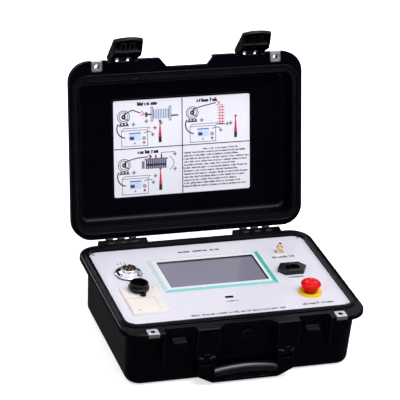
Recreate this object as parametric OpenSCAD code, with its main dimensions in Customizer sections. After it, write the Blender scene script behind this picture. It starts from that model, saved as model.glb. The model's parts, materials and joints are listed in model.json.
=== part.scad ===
// Portable very low frequency cable tester in a hinged, moulded equipment case.
// Millimetres. The origin is the centre of the case's footprint on the floor: +Z up, -Y the handle side.
// The lid stands open at rest. Its parts are drawn as they lie when it is shut,
// then turned about the hinge.

/* [Case rim and walls] */
// Width over the rim
rim_w = 410; // [400:1:430]
// Depth over the rim
rim_d = 302; // [296:1:320]
// Corner radius of the rim
rim_r = 35; // [33:1:42]
// Height of the base's rim above the floor
base_h = 103.5; // [98:0.5:120]
// Height of the base rim's skirt
skirt_h = 8.5; // [8:0.5:10]
// Thickness of the rim's top plate
rim_plate = 6; // [5:0.5:6.5]
// Rounding of the rim's outer top edge
rim_round = 3.5; // [2:0.5:5]
// Overhang of the rim beyond the side walls
over_x = 12; // [10:0.5:13]
// Overhang of the rim beyond the front and rear walls
over_y = 13.5; // [12.5:0.5:14.5]
// How far each wall leans inward between the rim and the floor
lean = 4; // [2:0.5:6]
// Wall thickness of the mouldings
wall = 3.5; // [3:0.1:4]
// Corner radius of the walls under the rim
wall_r = 28; // [26:1:32]
// Fillet between the floor and the walls
floor_fillet = 12; // [8:1:14]

/* [Lid] */
// Angle of the open lid from shut
open_angle = 105; // [95:1:110]
// Gap between the two rims when shut
rim_gap = 0.8; // [0.6:0.1:1.2]
// Height of the lid's rim skirt
lid_skirt_h = 12; // [10:0.5:14]
// Depth of the space inside the lid
lid_bay_h = 32; // [28:0.5:40]
// Fillet between the lid's floor and walls
lid_fillet = 12; // [8:1:14]
// How far the lid's walls lean inward
lid_lean = 3; // [2:0.5:4]
// Width of the instruction label
label_w = 243; // [200:1:260]
// Depth of the instruction label
label_d = 165.5; // [150:0.5:180]
// Thickness of the instruction label
label_t = 0.6; // [0.4:0.1:1]
// Place of the label's centre behind the middle of the lid
label_y = 5.7; // [2:0.1:9]

/* [Seal] */
// Width of the raised sealing lip on the base
lip_w = 5.2; // [4.5:0.1:6]
// Height of the sealing lip above the rim
lip_h = 2; // [1:0.1:2.5]
// Width of the groove outside the lip
groove_w = 4.4; // [4:0.1:5]
// Depth of the groove
groove_h = 3; // [2.5:0.1:4]
// Land between lip and groove
lip_land = 1; // [0.8:0.1:1.4]
// Width of the lid's tongue
tongue_w = 2.4; // [2:0.1:2.6]
// Height of the lid's tongue
tongue_h = 2.2; // [1.5:0.1:2.6]
// Thickness of the rubber gasket
gasket_t = 3.4; // [2.5:0.1:4]
// Gap left between gasket and lip
gasket_gap = 0.4; // [0.3:0.1:0.8]

/* [Instrument panel] */
// Width of the panel
panel_w = 380; // [376:1:384]
// Depth of the panel
panel_d = 250; // [246:1:254]
// Corner radius of the panel
panel_r = 18.5; // [16:0.5:22]
// Thickness of the panel
panel_t = 3; // [2:0.5:4]
// Depth of the panel's face below the rim
panel_drop = 4; // [3:0.5:6]
// Place of the panel's centre behind the middle of the case
bay_y = 7.5; // [6:0.5:9]
// Gap round the panel
panel_gap = 0.8; // [0.5:0.1:1.2]
// Width of the ledge that carries the panel
ledge_w = 8; // [6:0.5:10]
// Thickness of that ledge
ledge_t = 4; // [3:0.5:6]
// Inset of the corner screws from the panel's edges
screw_inset = 9; // [8:0.5:11]
// Radius of the panel screws' shanks
screw_r = 1.5; // [1.25:0.25:2]
// Radius of the panel screws' heads
screw_head_r = 2.5; // [2.2:0.1:3.5]

/* [Hinges] */
// Height of the hinge axis below the base's rim
hinge_drop = 6.5; // [6:0.5:8]
// Distance of the hinge axis behind the rim
hinge_back = 8.6; // [8:0.2:10]
// Radius of the hinge knuckles
knuckle_r = 8; // [7:0.2:8]
// Radius of the hinge pins
hinge_pin_r = 2; // [1.5:0.1:2.5]
// Distance of each hinge's middle from the centre
hinge_x = 119.5; // [100:0.5:125]
// Width of one lid knuckle
lid_knuckle_w = 10.5; // [9:0.5:11.5]
// Spacing of the lid knuckles
knuckle_pitch = 20.5; // [20:0.5:22]
// Width over one whole hinge
hinge_w = 83; // [80:1:90]
// Gap between neighbouring knuckles
knuckle_gap = 0.4; // [0.3:0.1:0.8]

/* [Latches] */
// Distance of each latch's middle from the handle's end
latch_gap = 32; // [30:0.5:34]
// Width of a latch
latch_w = 50; // [46:1:51]
// Width of the pocket for a latch in the base
pocket_w = 53; // [52:0.5:56]
// Distance of the latch pivot in front of the lid's recessed edge
latch_out = 5.5; // [5.3:0.1:7]
// Height of the latch pivot above the lid's rim
latch_up = 4.2; // [4:0.1:6]
// Length of a latch below its pivot
latch_l = 52.5; // [46:0.5:54]
// Bulge of the latch's free end
latch_bulge = 5.5; // [2:0.5:6]
// Distance of the latch's outer face in front of its pivot
latch_face = 7; // [6.5:0.1:7.5]
// Reach of the latch's hook behind its pivot
hook_reach = 8; // [6:0.5:9]
// Height of the hook below the pivot
hook_down = 33; // [30:0.5:36]
// Wall thickness of the latch
latch_t = 2.8; // [2:0.1:3.2]
// Radius of the latch pins
latch_pin_r = 2; // [1.5:0.1:2.2]
// Angle of the open latch from shut
latch_angle = 38; // [30:1:50]
// Depth of the lid's recess behind a latch
latch_notch = 3.5; // [3:0.1:4]
// Gap between hook and catch when shut
hook_gap = 0.4; // [0.3:0.1:0.8]
// Width of the catch on the base
catch_w = 22; // [18:1:26]

/* [Handle] */
// Distance of the handle's pivot in front of the wall under the rim
handle_out = 8.5; // [8.3:0.1:9.5]
// Height of the handle's pivot above the floor
handle_z = 47; // [46:1:52]
// Width over the handle
handle_w = 160; // [156:1:161]
// Width of each of the handle's upright ends
cheek_w = 27; // [26.5:0.5:32]
// Width of the straight lower edge
handle_low_w = 104; // [90:1:110]
// Height of the handle's lower edge above the floor
handle_low_z = 3.5; // [2:0.5:6]
// Height of the handle's lower corners above the floor
handle_corner_z = 18; // [12:1:22]
// Thickness of the handle, front to back
handle_t = 15; // [12:0.5:15]
// Height of the grip's middle above the floor
grip_z = 24.5; // [23:0.5:26]
// Radius of the rubber grip
grip_r = 8.7; // [8.3:0.1:9.5]
// Drop of the grip's ends below its middle
grip_arch = 5; // [3:0.5:6]
// Distance of each bracket lug's middle from the handle's end
lug_inset = 12; // [11:0.5:13]
// Width of a bracket lug
lug_w = 11; // [9:0.5:12]
// Width of the slot in the handle round a lug
lug_slot_w = 17; // [16:0.5:18]
// Radius of the bracket lugs
lug_r = 7; // [6:0.5:7]
// Radius of the handle pins
handle_pin_r = 2.5; // [2:0.1:3]

/* [Touch screen] */
// Width over the bezel
hmi_w = 196; // [190:1:200]
// Depth over the bezel
hmi_d = 111.2; // [106:0.2:114]
// Height of the bezel above the panel
hmi_t = 2.5; // [2:0.1:2.7]
// Width of the bezel's sloping edge
hmi_slope = 6; // [4:0.5:7]
// Width of the screen
screen_w = 168.4; // [160:0.2:170]
// Depth of the screen
screen_d = 88.4; // [84:0.2:90]
// Place of the bezel's middle across the case
hmi_x = -1.5; // [-3:0.5:0]
// Place of the bezel's middle behind the case's centre
hmi_y = 35; // [33:0.5:37]
// Depth of the housing behind the panel
hmi_deep = 36; // [30:1:38]

/* [Thermal printer] */
// Width of the printer's frame
printer_w = 61; // [60:0.5:64]
// Depth of the printer's frame
printer_d = 85; // [83:0.5:87]
// Thickness of the printer's frame
printer_t = 3; // [2.5:0.1:3]
// Place of the printer's middle across the case
printer_x = -140.5; // [-143:0.5:-139]
// Place of the printer's middle in front of the case's centre
printer_y = -41; // [-43:0.5:-39]
// Width of the printer's door
door_w = 46; // [44:0.5:48]
// Length of the printer's door
door_d = 42; // [38:0.5:44]
// Place of the door's middle left of the frame's middle
door_dx = 4.5; // [4:0.5:5]
// Distance of the door's front edge from the frame's front edge
door_front = 7.5; // [6:0.5:9]
// Gap round the door
door_gap = 0.4; // [0.3:0.1:0.6]
// Paper slot behind the door
paper_slot = 1.2; // [1:0.1:2]
// Radius of the paper roll
paper_r = 17; // [14:0.5:18]
// Radius of the rubber platen
platen_r = 4; // [3:0.2:4.4]

/* [Sockets and terminals] */
// Radius of the round connector's flange
plug_flange_r = 22.5; // [20:0.5:24]
// Outer radius of the connector's barrel
barrel_r = 13; // [12:0.5:14]
// Height of the barrel's mouth above the panel
barrel_h = 13; // [12:0.5:15]
// Wall of the connector's barrel
barrel_wall = 1.2; // [1:0.1:2]
// Place of the connector across the case
plug_x = -141; // [-143:0.5:-139]
// Place of the connector behind the case's centre
plug_y = 49; // [47:0.5:52]
// Distance of the tethered cap's middle from the connector's
cap_reach = 57; // [55:0.5:60]
// Outer radius of the cap's cup
cap_r = 15.5; // [15:0.1:16]
// Height of the cap
cap_h = 13.5; // [12:0.5:15]
// Width of the cap's tether
tether_w = 8; // [6:0.5:10]
// Width of the USB slot
usb_w = 14; // [13.5:0.1:15]
// Depth of the USB slot
usb_d = 6.4; // [6.2:0.1:7.5]
// Place of the USB slot in front of the case's centre
usb_y = -51.2; // [-54:0.2:-48]
// Place of the earth terminal across the case
earth_x = 132.5; // [130:0.5:135]
// Place of the earth terminal behind the case's centre
earth_y = 80; // [77:0.5:83]
// Radius of the earth terminal's stud
stud_r = 3; // [2.5:0.5:4]
// Height of the stud above the panel
stud_h = 17; // [15:0.5:20]
// Radius of the earth terminal's thumb nut
thumb_r = 5.4; // [5:0.1:7]
// Place of the mains inlet across the case
inlet_x = 131.5; // [130:0.5:133]
// Place of the mains inlet behind the case's centre
inlet_y = 15.5; // [14:0.5:17]
// Width over the inlet's housing
inlet_w = 50; // [48:0.5:52]
// Depth over the inlet's housing
inlet_d = 29; // [27:0.5:31]
// Height of the inlet's housing above the panel
inlet_h = 8; // [6:0.5:9]
// Width of the inlet's recess
recess_w = 24.5; // [24:0.1:25.5]
// Depth of the inlet's recess
recess_d = 16.5; // [16:0.1:17.5]

/* [Emergency stop] */
// Radius of the yellow ring
ring_r = 19.5; // [18:0.5:21]
// Thickness of the yellow ring
ring_t = 1.6; // [1:0.1:2]
// Largest radius of the red head
head_r = 16.5; // [15:0.5:18]
// Height of the head's top above the panel
head_top = 21; // [20:0.5:23]
// Height of the head's lower edge above the panel
head_low = 5.8; // [5.6:0.1:7]
// Travel of the head when it is pressed
stop_travel = 3.5; // [3:0.1:3.6]
// Radius of the stem
stem_r = 4; // [3:0.5:5]
// Radius of the threaded bush
bush_r = 8; // [6.5:0.5:8.5]
// Radius of the bush's collar
collar_r = 10; // [9.5:0.25:10.5]
// Place of the stop across the case
stop_x = 136; // [133:0.5:138]
// Place of the stop in front of the case's centre
stop_y = -59.5; // [-62:0.5:-57]

/* [Pressure valve] */
// Radius of the valve's knob
valve_r = 7.5; // [6:0.5:9]
// Thickness of the valve's knob
valve_t = 5; // [4:0.5:6]
// Drop from the top of the base's rim to the valve
valve_drop = 20.5; // [17.5:0.5:23.5]

/* [Inner parts] */
// Distance of the chassis plate from the outer face of each side wall, at the rim
chassis_side = 18; // [16:0.5:23]
// Distance of the chassis plate from the outer face of the front and rear walls, at the rim
chassis_end = 24.5; // [22:0.5:28]
// Thickness of the chassis plate
chassis_t = 2; // [1.5:0.5:3]
// Height of the plate's spacers above the floor moulding
spacer_h = 8; // [6:0.5:10]
// Radius of the spacers
spacer_r = 4; // [3.5:0.5:5]
// Gap between the ring transformer and the drive board
toroid_gap = 3; // [2:0.5:6]
// Height of the ring transformer
toroid_h = 46; // [36:1:50]
// Height of the power supply's case
supply_h = 38; // [30:1:40]
// Radius of the storage capacitors
capacitor_r = 15; // [12:0.5:17]
// Height of the storage capacitors
capacitor_h = 44; // [36:1:48]

/* [Fits] */
// Radial clearance of a shaft that turns
run_gap = 0.05; // [0.02:0.01:0.1]
// Radial clearance of a pin or screw that is held
seat_gap = 0.02; // [0.01:0.01:0.05]
// Clearance between parts that move past each other
move_gap = 0.4; // [0.3:0.1:0.6]

/* [Hidden] */
$fn = 64;
eps = 0.01;
far = 600;

// Heights and places that follow from the sizes above
panel_z = base_h - panel_drop;
under_z = panel_z - panel_t;
skirt_z = base_h - skirt_h;
wall_w = rim_w - 2 * over_x;
wall_d = rim_d - 2 * over_y;
front_y = -wall_d / 2;
open_w = panel_w + 2 * panel_gap;
open_d = panel_d + 2 * panel_gap;
open_r = panel_r + panel_gap;
floor_z = wall;
hinge_y = rim_d / 2 + hinge_back;
hinge_z = base_h - hinge_drop;
lid_z = base_h + rim_gap;
lid_floor_z = lid_z + lid_bay_h;
lid_top_z = lid_floor_z + wall;
lid_bay_w = open_w - 2 * 2.6;
lid_bay_d = open_d - 2 * 1.2;
lid_body_w = lid_bay_w + 2 * wall;
lid_body_d = lid_bay_d + 2 * wall;
notch_y = -rim_d / 2 + latch_notch;
latch_y = notch_y - latch_out;
latch_z = lid_z + latch_up;
hook_y = latch_y + hook_reach;
hook_z = latch_z - hook_down;
catch_z = hook_z + hook_gap;
handle_y = front_y - handle_out;
grip_gap_w = handle_w - 2 * cheek_w;
lug_x = handle_w / 2 - lug_inset;
latch_x = handle_w / 2 + latch_gap;
tab_in = lug_x - 18.5;
tab_out = lug_x + 17.5;
rib_t = 3;
rib_pitch = rim_d / 7.55;
padlock_x = (latch_x + latch_w / 2 + rim_w / 2 - 28) / 2;
padlock_r = 4;
padlock_y = -rim_d / 2 + over_y - padlock_r - 0.3;
plate_t = 1.2;
plate_w = 18;
plate_d = over_y + 3.5;
chassis_w = wall_w - 2 * chassis_side;
chassis_d = wall_d - 2 * chassis_end;
stop_z = panel_z + head_low;
valve_z = base_h - valve_drop;
toroid_r = (chassis_d / 2 - 22 - toroid_gap) / 2;
chassis_z = floor_z + spacer_h;
deck_z = chassis_z + chassis_t;
supply_w = chassis_w / 2 - 15;
supply_d = chassis_d / 2 - 15;
supply_x = -chassis_w / 2 + 33 + supply_w / 2;
supply_y = chassis_d / 2 - 14 - supply_d / 2;
drive_w = chassis_w / 4 - 7.5;
drive_d = chassis_d / 2 - 3;
drive_x = chassis_w / 2 - 63 - drive_w / 2;
drive_y = chassis_d / 2 - 18 - drive_d / 2;
control_w = chassis_w / 4 + 2.5;
control_d = chassis_d / 2 - 33;
control_x = -chassis_w / 2 + 15 + control_w / 2;
control_y = -chassis_d / 2 + 13 + control_d / 2;
housing_top = under_z - 5.2;
cap_z = panel_z + printer_t + 0.3;
door_y0 = printer_y - printer_d / 2 + door_front;
door_x = printer_x - door_dx;
door_pivot_y = door_y0 + printer_t / 2;
door_pivot_z = panel_z + printer_t / 2;
platen_y = door_y0 + door_d - platen_r - 0.2;
platen_z = panel_z - platen_r - 1.2;
paper_y = door_y0 + 19;
paper_z = panel_z - paper_r - 9.5;
paper_l = door_w - 5;
well_t = 2;

// Rounded rectangle with true arcs at its corners
module plate2(w, d, r) {
    square([w - 2 * r, d], center = true);
    square([w, d - 2 * r], center = true);
    for (x = [-1, 1], y = [-1, 1])
        translate([x * (w / 2 - r), y * (d / 2 - r)]) circle(r);
}

// Flat ring between two rounded rectangles about one centre
module ring2(w, d, r, out, in) {
    difference() {
        plate2(w + 2 * out, d + 2 * out, r + out);
        plate2(w + 2 * in, d + 2 * in, r + in);
    }
}

// Half profile of a leaning wall with a rounded foot, from the corner's axis outward
module wall_profile(r, lean_in, h, fillet) {
    square([r - lean_in - fillet, h]);
    intersection() {
        translate([r - lean_in - fillet, fillet]) circle(fillet);
        square([r, fillet]);
    }
    polygon([[0, fillet], [r - lean_in, fillet], [r, h], [0, h]]);
}

// Box with leaning walls, round corners and a rounded foot: w, d and r are measured at its top
module tub_solid(w, d, r, lean_in, h, fillet) {
    for (x = [-1, 1], y = [-1, 1])
        translate([x * (w / 2 - r), y * (d / 2 - r), 0])
            rotate_extrude() wall_profile(r, lean_in, h, fillet);
    rotate([90, 0, 0]) linear_extrude(d - 2 * r, center = true)
        for (side = [0, 1]) mirror([side, 0])
            translate([w / 2 - r, 0]) {
                wall_profile(r, lean_in, h, fillet);
                translate([-(w / 2 - r), 0]) square([w / 2 - r + eps, h]);
            }
    rotate([90, 0, 90]) linear_extrude(w - 2 * r, center = true)
        for (side = [0, 1]) mirror([side, 0])
            translate([d / 2 - r, 0]) {
                wall_profile(r, lean_in, h, fillet);
                translate([-(d / 2 - r), 0]) square([d / 2 - r + eps, h]);
            }
}

// Flat block with four sloping edges: w and d are measured at its foot
module sloped_block(w, d, h, slope) {
    intersection() {
        rotate([90, 0, 0]) linear_extrude(d, center = true)
            polygon([[-w / 2, 0], [w / 2, 0], [w / 2 - slope, h], [slope - w / 2, h]]);
        rotate([90, 0, 90]) linear_extrude(w, center = true)
            polygon([[-d / 2, 0], [d / 2, 0], [d / 2 - slope, h], [slope - d / 2, h]]);
    }
}

// Cylinder along X about (y, z), centred on x
module rod_x(x, y, z, r, l) {
    translate([x, y, z]) rotate([0, 90, 0]) cylinder(r = r, h = l, center = true);
}

// Solid between two X planes with a Y-Z outline given by its children
module along_x(x, w) {
    translate([x - w / 2, 0, 0]) rotate([90, 0, 90]) linear_extrude(w) children();
}

// Everything on the lid is drawn shut and stood open by this turn
module on_lid() {
    translate([0, hinge_y, hinge_z]) rotate([-open_angle, 0, 0])
        translate([0, -hinge_y, -hinge_z]) children();
}

// A latch is drawn shut on the shut lid and turned outward by its own angle first
module on_latch() {
    on_lid() translate([0, latch_y, latch_z]) rotate([-latch_angle, 0, 0])
        translate([0, -latch_y, -latch_z]) children();
}

// Outline of the base's rim: cut back for the latches and between the handle's tabs
module base_outline() {
    difference() {
        plate2(rim_w, rim_d, rim_r);
        for (side = [-1, 1]) scale([side, 1])
            polygon([[tab_out, -far], [latch_x + pocket_w / 2, -far],
                     [latch_x + pocket_w / 2, front_y], [tab_out, front_y]]);
        polygon([[-tab_in, -far], [tab_in, -far], [tab_in, -rim_d / 2], [tab_in - 13, front_y],
                 [13 - tab_in, front_y], [-tab_in, -rim_d / 2]]);
    }
}

// Outline of the lid's rim: cut back in the middle and a little behind each latch
module lid_outline() {
    difference() {
        plate2(rim_w, rim_d, rim_r);
        for (side = [-1, 1])
            translate([side * latch_x, notch_y - far / 2]) square([latch_w + 3, far], center = true);
        polygon([[1.5 - tab_in, -far], [tab_in - 1.5, -far], [tab_in - 1.5, -rim_d / 2],
                 [tab_in - 14.5, front_y + 2], [14.5 - tab_in, front_y + 2], [1.5 - tab_in, -rim_d / 2]]);
    }
}

// Vertical rib in front of the wall, with a slanted foot
module front_rib(x, z0, z1) {
    along_x(x, rib_t)
        polygon([[front_y + 4, z0 - 8], [-rim_d / 2, z0 + 4], [-rim_d / 2, z1 - rim_round],
                 [rim_round - rim_d / 2, z1], [front_y + 4, z1]]);
}

// Knuckles of the base at one hinge: four, with the outer two wider
module base_knuckles() {
    inner_w = knuckle_pitch - lid_knuckle_w - 2 * knuckle_gap;
    outer_w = hinge_w / 2 - knuckle_pitch - lid_knuckle_w / 2 - knuckle_gap;
    places = [[-(hinge_w - outer_w) / 2, outer_w], [-knuckle_pitch / 2, inner_w],
              [knuckle_pitch / 2, inner_w], [(hinge_w - outer_w) / 2, outer_w]];
    for (p = places) along_x(p[0], p[1]) {
        translate([hinge_y, hinge_z]) circle(knuckle_r);
        polygon([[rim_d / 2 - 2, skirt_z + 1], [hinge_y, hinge_z - knuckle_r],
                 [hinge_y, hinge_z + knuckle_r], [rim_d / 2 - rim_round, base_h - 1]]);
    }
}

// Knuckles of the lid at one hinge, with a heel that meets the base's rim when the lid is open
module lid_knuckles() {
    heel = hinge_back - 0.35;
    for (k = [-1:1]) along_x(k * knuckle_pitch, lid_knuckle_w) {
        translate([hinge_y, hinge_z]) circle(knuckle_r);
        polygon([[rim_d / 2 - 2, lid_z + 1], [hinge_y, hinge_z], [hinge_y + knuckle_r * 0.94, hinge_z + 2],
                 [rim_d / 2, lid_z + lid_skirt_h - 1], [rim_d / 2 - 2, lid_z + lid_skirt_h - 1]]);
        translate([hinge_y, hinge_z]) rotate(open_angle + 180) translate([0, -2]) square([heel, 4]);
    }
}

// Bracket of the handle under one tab: a plate in front, two cheeks and the lug for the pin
module handle_bracket() {
    low_z = handle_z + handle_t / 2 + 2;
    translate([tab_in, -rim_d / 2, low_z]) cube([tab_out - tab_in, rib_t, skirt_z + 1 - low_z]);
    along_x(tab_in + rib_t / 2, rib_t)
        polygon([[front_y + 4, low_z - 6], [-rim_d / 2 + 1, low_z], [-rim_d / 2 + 2, base_h - 1],
                 [front_y + 4, base_h - 1]]);
    along_x(lug_x, lug_w) {
        translate([handle_y, handle_z]) circle(lug_r);
        translate([handle_y - lug_r, handle_z]) square([2 * lug_r, low_z - handle_z + 1]);
        translate([-rim_d / 2 + 1, low_z]) square([front_y + 4 + rim_d / 2 - 1, 14]);
    }
}

// The moulded lower half: drafted tub, stepped rim with lip and groove, ribs, catches and brackets
module base_tub() {
    color([0.07, 0.07, 0.08]) difference() {
        union() {
            tub_solid(wall_w, wall_d, wall_r, lean, base_h - 1, floor_fillet);
            // Rim plate, its skirt and the ribs between skirt and wall
            intersection() {
                union() {
                    translate([0, 0, base_h - rim_plate]) linear_extrude(rim_plate) base_outline();
                    translate([0, 0, skirt_z]) linear_extrude(skirt_h - 1) difference() {
                        base_outline();
                        plate2(rim_w - 2 * wall, rim_d - 2 * wall, rim_r - wall);
                    }
                }
                translate([0, 0, base_h]) mirror([0, 0, 1])
                    tub_solid(rim_w, rim_d, rim_r, 0, 40, rim_round);
            }
            for (x = [-1, 1], k = [-2:2])
                translate([x * (rim_w + wall_w) / 4, k * rib_pitch, skirt_z + skirt_h / 2])
                    cube([(rim_w - wall_w) / 2 - 1, 2.5, skirt_h - 2], center = true);
            for (k = [-1.5:1:1.5])
                translate([k * rib_pitch, (rim_d + wall_d) / 4, skirt_z + skirt_h / 2])
                    cube([2.5, (rim_d - wall_d) / 2 - 1, skirt_h - 2], center = true);
            // Raised sealing lip
            translate([0, bay_y, base_h - 1]) linear_extrude(lip_h + 1)
                ring2(open_w, open_d, open_r, lip_w, 0);
            for (side = [-1, 1]) scale([side, 1, 1]) {
                front_rib(latch_x + pocket_w / 2 + rib_t / 2, 46, base_h - 1);
                front_rib(tab_out - rib_t / 2, 46, base_h - 1);
                handle_bracket();
                // Catch for the latch's hook
                along_x(latch_x, catch_w)
                    polygon([[front_y + 3, catch_z + 10], [hook_y - 1.5, catch_z + 5],
                             [hook_y - 1.5, catch_z], [front_y + 3, catch_z]]);
                translate([hinge_x, 0, 0]) base_knuckles();
                // Boss under the padlock plate
                translate([padlock_x - plate_w / 2, -rim_d / 2, skirt_z])
                    cube([plate_w, plate_d, skirt_h - 1]);
            }
        }
        // Space inside, the ledge that carries the panel, and the panel's opening
        translate([0, 0, floor_z])
            tub_solid(wall_w - 2 * wall, wall_d - 2 * wall, wall_r - wall, lean,
                      under_z - ledge_t - floor_z, floor_fillet - wall);
        translate([0, bay_y, under_z - ledge_t - 1]) linear_extrude(ledge_t + 2)
            plate2(panel_w - 2 * ledge_w, panel_d - 2 * ledge_w, panel_r + ledge_w);
        translate([0, bay_y, under_z]) linear_extrude(far) plate2(open_w, open_d, open_r);
        translate([0, bay_y, base_h - groove_h]) linear_extrude(far)
            ring2(open_w, open_d, open_r, lip_w + lip_land + groove_w, lip_w + lip_land);
        for (side = [-1, 1]) scale([side, 1, 1]) {
            translate([padlock_x, padlock_y, 0]) cylinder(r = padlock_r, h = far);
            rod_x(hinge_x, hinge_y, hinge_z, hinge_pin_r + seat_gap, hinge_w - 4);
            rod_x(lug_x, handle_y, handle_z, handle_pin_r + seat_gap, lug_w + 2);
            padlock_seat(base_h - plate_t, base_h - 7);
            for (y = [-1, 1])
                translate([panel_w / 2 - screw_inset, bay_y + y * (panel_d / 2 - screw_inset),
                           under_z - ledge_t - 2])
                    cylinder(r = screw_r + seat_gap, h = ledge_t + 3);
        }
        translate([0, front_y - 10, valve_z]) rotate([-90, 0, 0]) cylinder(r = 4 + seat_gap, h = 20);
    }
}

// Places of the panel's corner screws
module at_screws() {
    for (x = [-1, 1], y = [-1, 1])
        translate([x * (panel_w / 2 - screw_inset), bay_y + y * (panel_d / 2 - screw_inset), 0]) children();
}

module panel_plate() {
    color([0.89, 0.88, 0.92]) difference() {
        translate([0, bay_y, under_z]) linear_extrude(panel_t) plate2(panel_w, panel_d, panel_r);
        translate([hmi_x, hmi_y, 0]) linear_extrude(far) square([hmi_w - 10, hmi_d - 10], center = true);
        translate([plug_x, plug_y, 0]) cylinder(r = 14.2, h = far);
        translate([printer_x, printer_y, 0]) linear_extrude(far)
            square([printer_w - 5, printer_d - 5], center = true);
        translate([hmi_x + 0.8, usb_y, 0]) linear_extrude(far) square([usb_w, usb_d], center = true);
        translate([earth_x, earth_y, 0]) cylinder(r = stud_r + seat_gap, h = far);
        translate([inlet_x, inlet_y, 0]) linear_extrude(far)
            square([recess_w + 4.4, recess_d + 4.4], center = true);
        translate([stop_x, stop_y, 0]) cylinder(r = bush_r + seat_gap, h = far);
        at_screws() cylinder(r = screw_r + 0.2, h = far);
    }
}

module panel_screws() {
    color([0.8, 0.8, 0.82]) at_screws() {
        translate([0, 0, under_z - ledge_t - 1]) cylinder(r = screw_r, h = ledge_t + panel_t + 1);
        translate([0, 0, panel_z]) difference() {
            cylinder(r = screw_head_r, h = 1.3);
            for (turn = [0, 90]) rotate(turn) translate([-1.6, -0.35, 0.6]) cube([3.2, 0.7, 2]);
        }
    }
}

// Plan of a padlock plate from y0 inward, with two round inner corners
module padlock_outline(gap, y0) {
    w = plate_w + 2 * gap;
    d = plate_d + gap;
    translate([-w / 2, y0]) square([w, d - 3 - y0]);
    translate([3 - w / 2, y0]) square([w - 6, d - y0]);
    for (side = [-1, 1]) translate([side * (w / 2 - 3), d - 3]) circle(3);
}

// Stainless plate over the rim's edge, round a padlock hole
module padlock_plate(top_z, down) {
    difference() {
        union() {
            translate([0, 0, top_z - plate_t]) linear_extrude(plate_t) padlock_outline(0, 0);
            translate([-plate_w / 2, 0, top_z - down]) cube([plate_w, plate_t, down]);
        }
        translate([0, padlock_y + rim_d / 2, -far / 2]) cylinder(r = padlock_r, h = far);
    }
}

// Seat of a padlock plate: z0 is the lower end of its face, z1 that of its front leg
module padlock_seat(z0, z1) {
    translate([padlock_x, -rim_d / 2, z0]) linear_extrude(plate_t + 1) padlock_outline(0.5, -1);
    translate([padlock_x - plate_w / 2 - 0.5, -rim_d / 2 - 1, z1]) cube([plate_w + 1, 1 + plate_t, 8]);
}

module base_padlock_plates() {
    color([0.8, 0.8, 0.8]) for (side = [-1, 1])
        translate([side * padlock_x, -rim_d / 2, 0]) padlock_plate(base_h, 6.5);
}

module hinge_pins() {
    color([0.75, 0.75, 0.77]) for (side = [-1, 1])
        rod_x(side * hinge_x, hinge_y, hinge_z, hinge_pin_r, hinge_w - 4.4);
}

module handle_pins() {
    color([0.75, 0.75, 0.77]) for (side = [-1, 1])
        rod_x(side * (handle_w / 2 + grip_gap_w / 2) / 2, handle_y, handle_z, handle_pin_r,
              (handle_w - grip_gap_w) / 2 - 1);
}

module hmi_bezel() {
    color([0.34, 0.77, 0.72]) translate([hmi_x, hmi_y, panel_z]) difference() {
        sloped_block(hmi_w, hmi_d, hmi_t, hmi_slope);
        translate([0, 0, -1]) linear_extrude(far) square([screen_w, screen_d], center = true);
    }
}

module hmi_screen() {
    color([0.54, 0.53, 0.59]) translate([hmi_x, hmi_y, panel_z - 1.4])
        linear_extrude(1.4 + hmi_t - 1) square([screen_w - 0.2, screen_d - 0.2], center = true);
}

// Rear housing with vents along two edges
module hmi_housing() {
    w = hmi_w - 10.6;
    d = hmi_d - 10.6;
    color([0.2, 0.2, 0.22]) translate([hmi_x, hmi_y, 0]) difference() {
        union() {
            translate([0, 0, panel_z - 6]) linear_extrude(6) square([w, d], center = true);
            translate([0, 0, panel_z - hmi_deep]) linear_extrude(hmi_deep - 5)
                square([w - 8, d - 8], center = true);
        }
        translate([0, 0, panel_z - 1.4]) linear_extrude(far) square([screen_w, screen_d], center = true);
        translate([0, 0, panel_z - hmi_deep + 2]) linear_extrude(hmi_deep - 5.4)
            square([w - 12, d - 12], center = true);
        for (x = [-75:10:75]) translate([x, 0, panel_z - hmi_deep + 10])
            cube([4, d, 3], center = true);
    }
}

// Screw clamps that pull the touch screen against the panel from behind
module hmi_clamps() {
    color([0.7, 0.7, 0.72]) for (x = [-60, 60], y = [-1, 1])
        translate([hmi_x + x, hmi_y + y * (hmi_d - 10.6 - 8) / 2, under_z - 12]) scale([1, y, 1]) {
            translate([-5, 0.02, -2]) cube([10, 12, 4]);
            translate([0, 9, 0]) cylinder(r = 2, h = 12);
        }
}

// Round panel connector: scalloped flange, raised barrel and threaded body
module connector_shell() {
    color([0.82, 0.82, 0.84]) translate([plug_x, plug_y, panel_z]) difference() {
        union() {
            rotate_extrude() polygon([
                [0, -16], [14, -16], [14, 0], [16, 0], [16, 2], [plug_flange_r - 0.6, 2],
                [plug_flange_r, 2.6], [plug_flange_r, 4], [plug_flange_r - 1, 4.8],
                [barrel_r + 3.5, 6.4], [barrel_r, 8.6], [barrel_r, barrel_h - 0.6],
                [barrel_r - 0.6, barrel_h], [0, barrel_h]]);
        }
        translate([0, 0, -1]) cylinder(r = barrel_r - barrel_wall, h = far);
        translate([0, 0, -17]) cylinder(r = 11, h = 20);
        for (k = [0:2]) rotate(90 + 120 * k) translate([18, 0, 4.2]) cylinder(r = 2.2, h = far);
        for (k = [0:2]) rotate(90 + 120 * k) translate([18, 0, 1]) cylinder(r = 1.4, h = far);
    }
}

// Moulded insert inside the barrel
module connector_insert() {
    color([0.2, 0.1, 0.06]) translate([plug_x, plug_y, panel_z]) difference() {
        translate([0, 0, -1]) cylinder(r = barrel_r - barrel_wall - seat_gap, h = barrel_h - 3.5);
        at_contacts() translate([0, 0, -2]) cylinder(r = 1 + seat_gap, h = far);
    }
}

module at_contacts() {
    children();
    for (k = [0:5]) rotate(60 * k) translate([6.5, 0, 0]) children();
}

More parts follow.
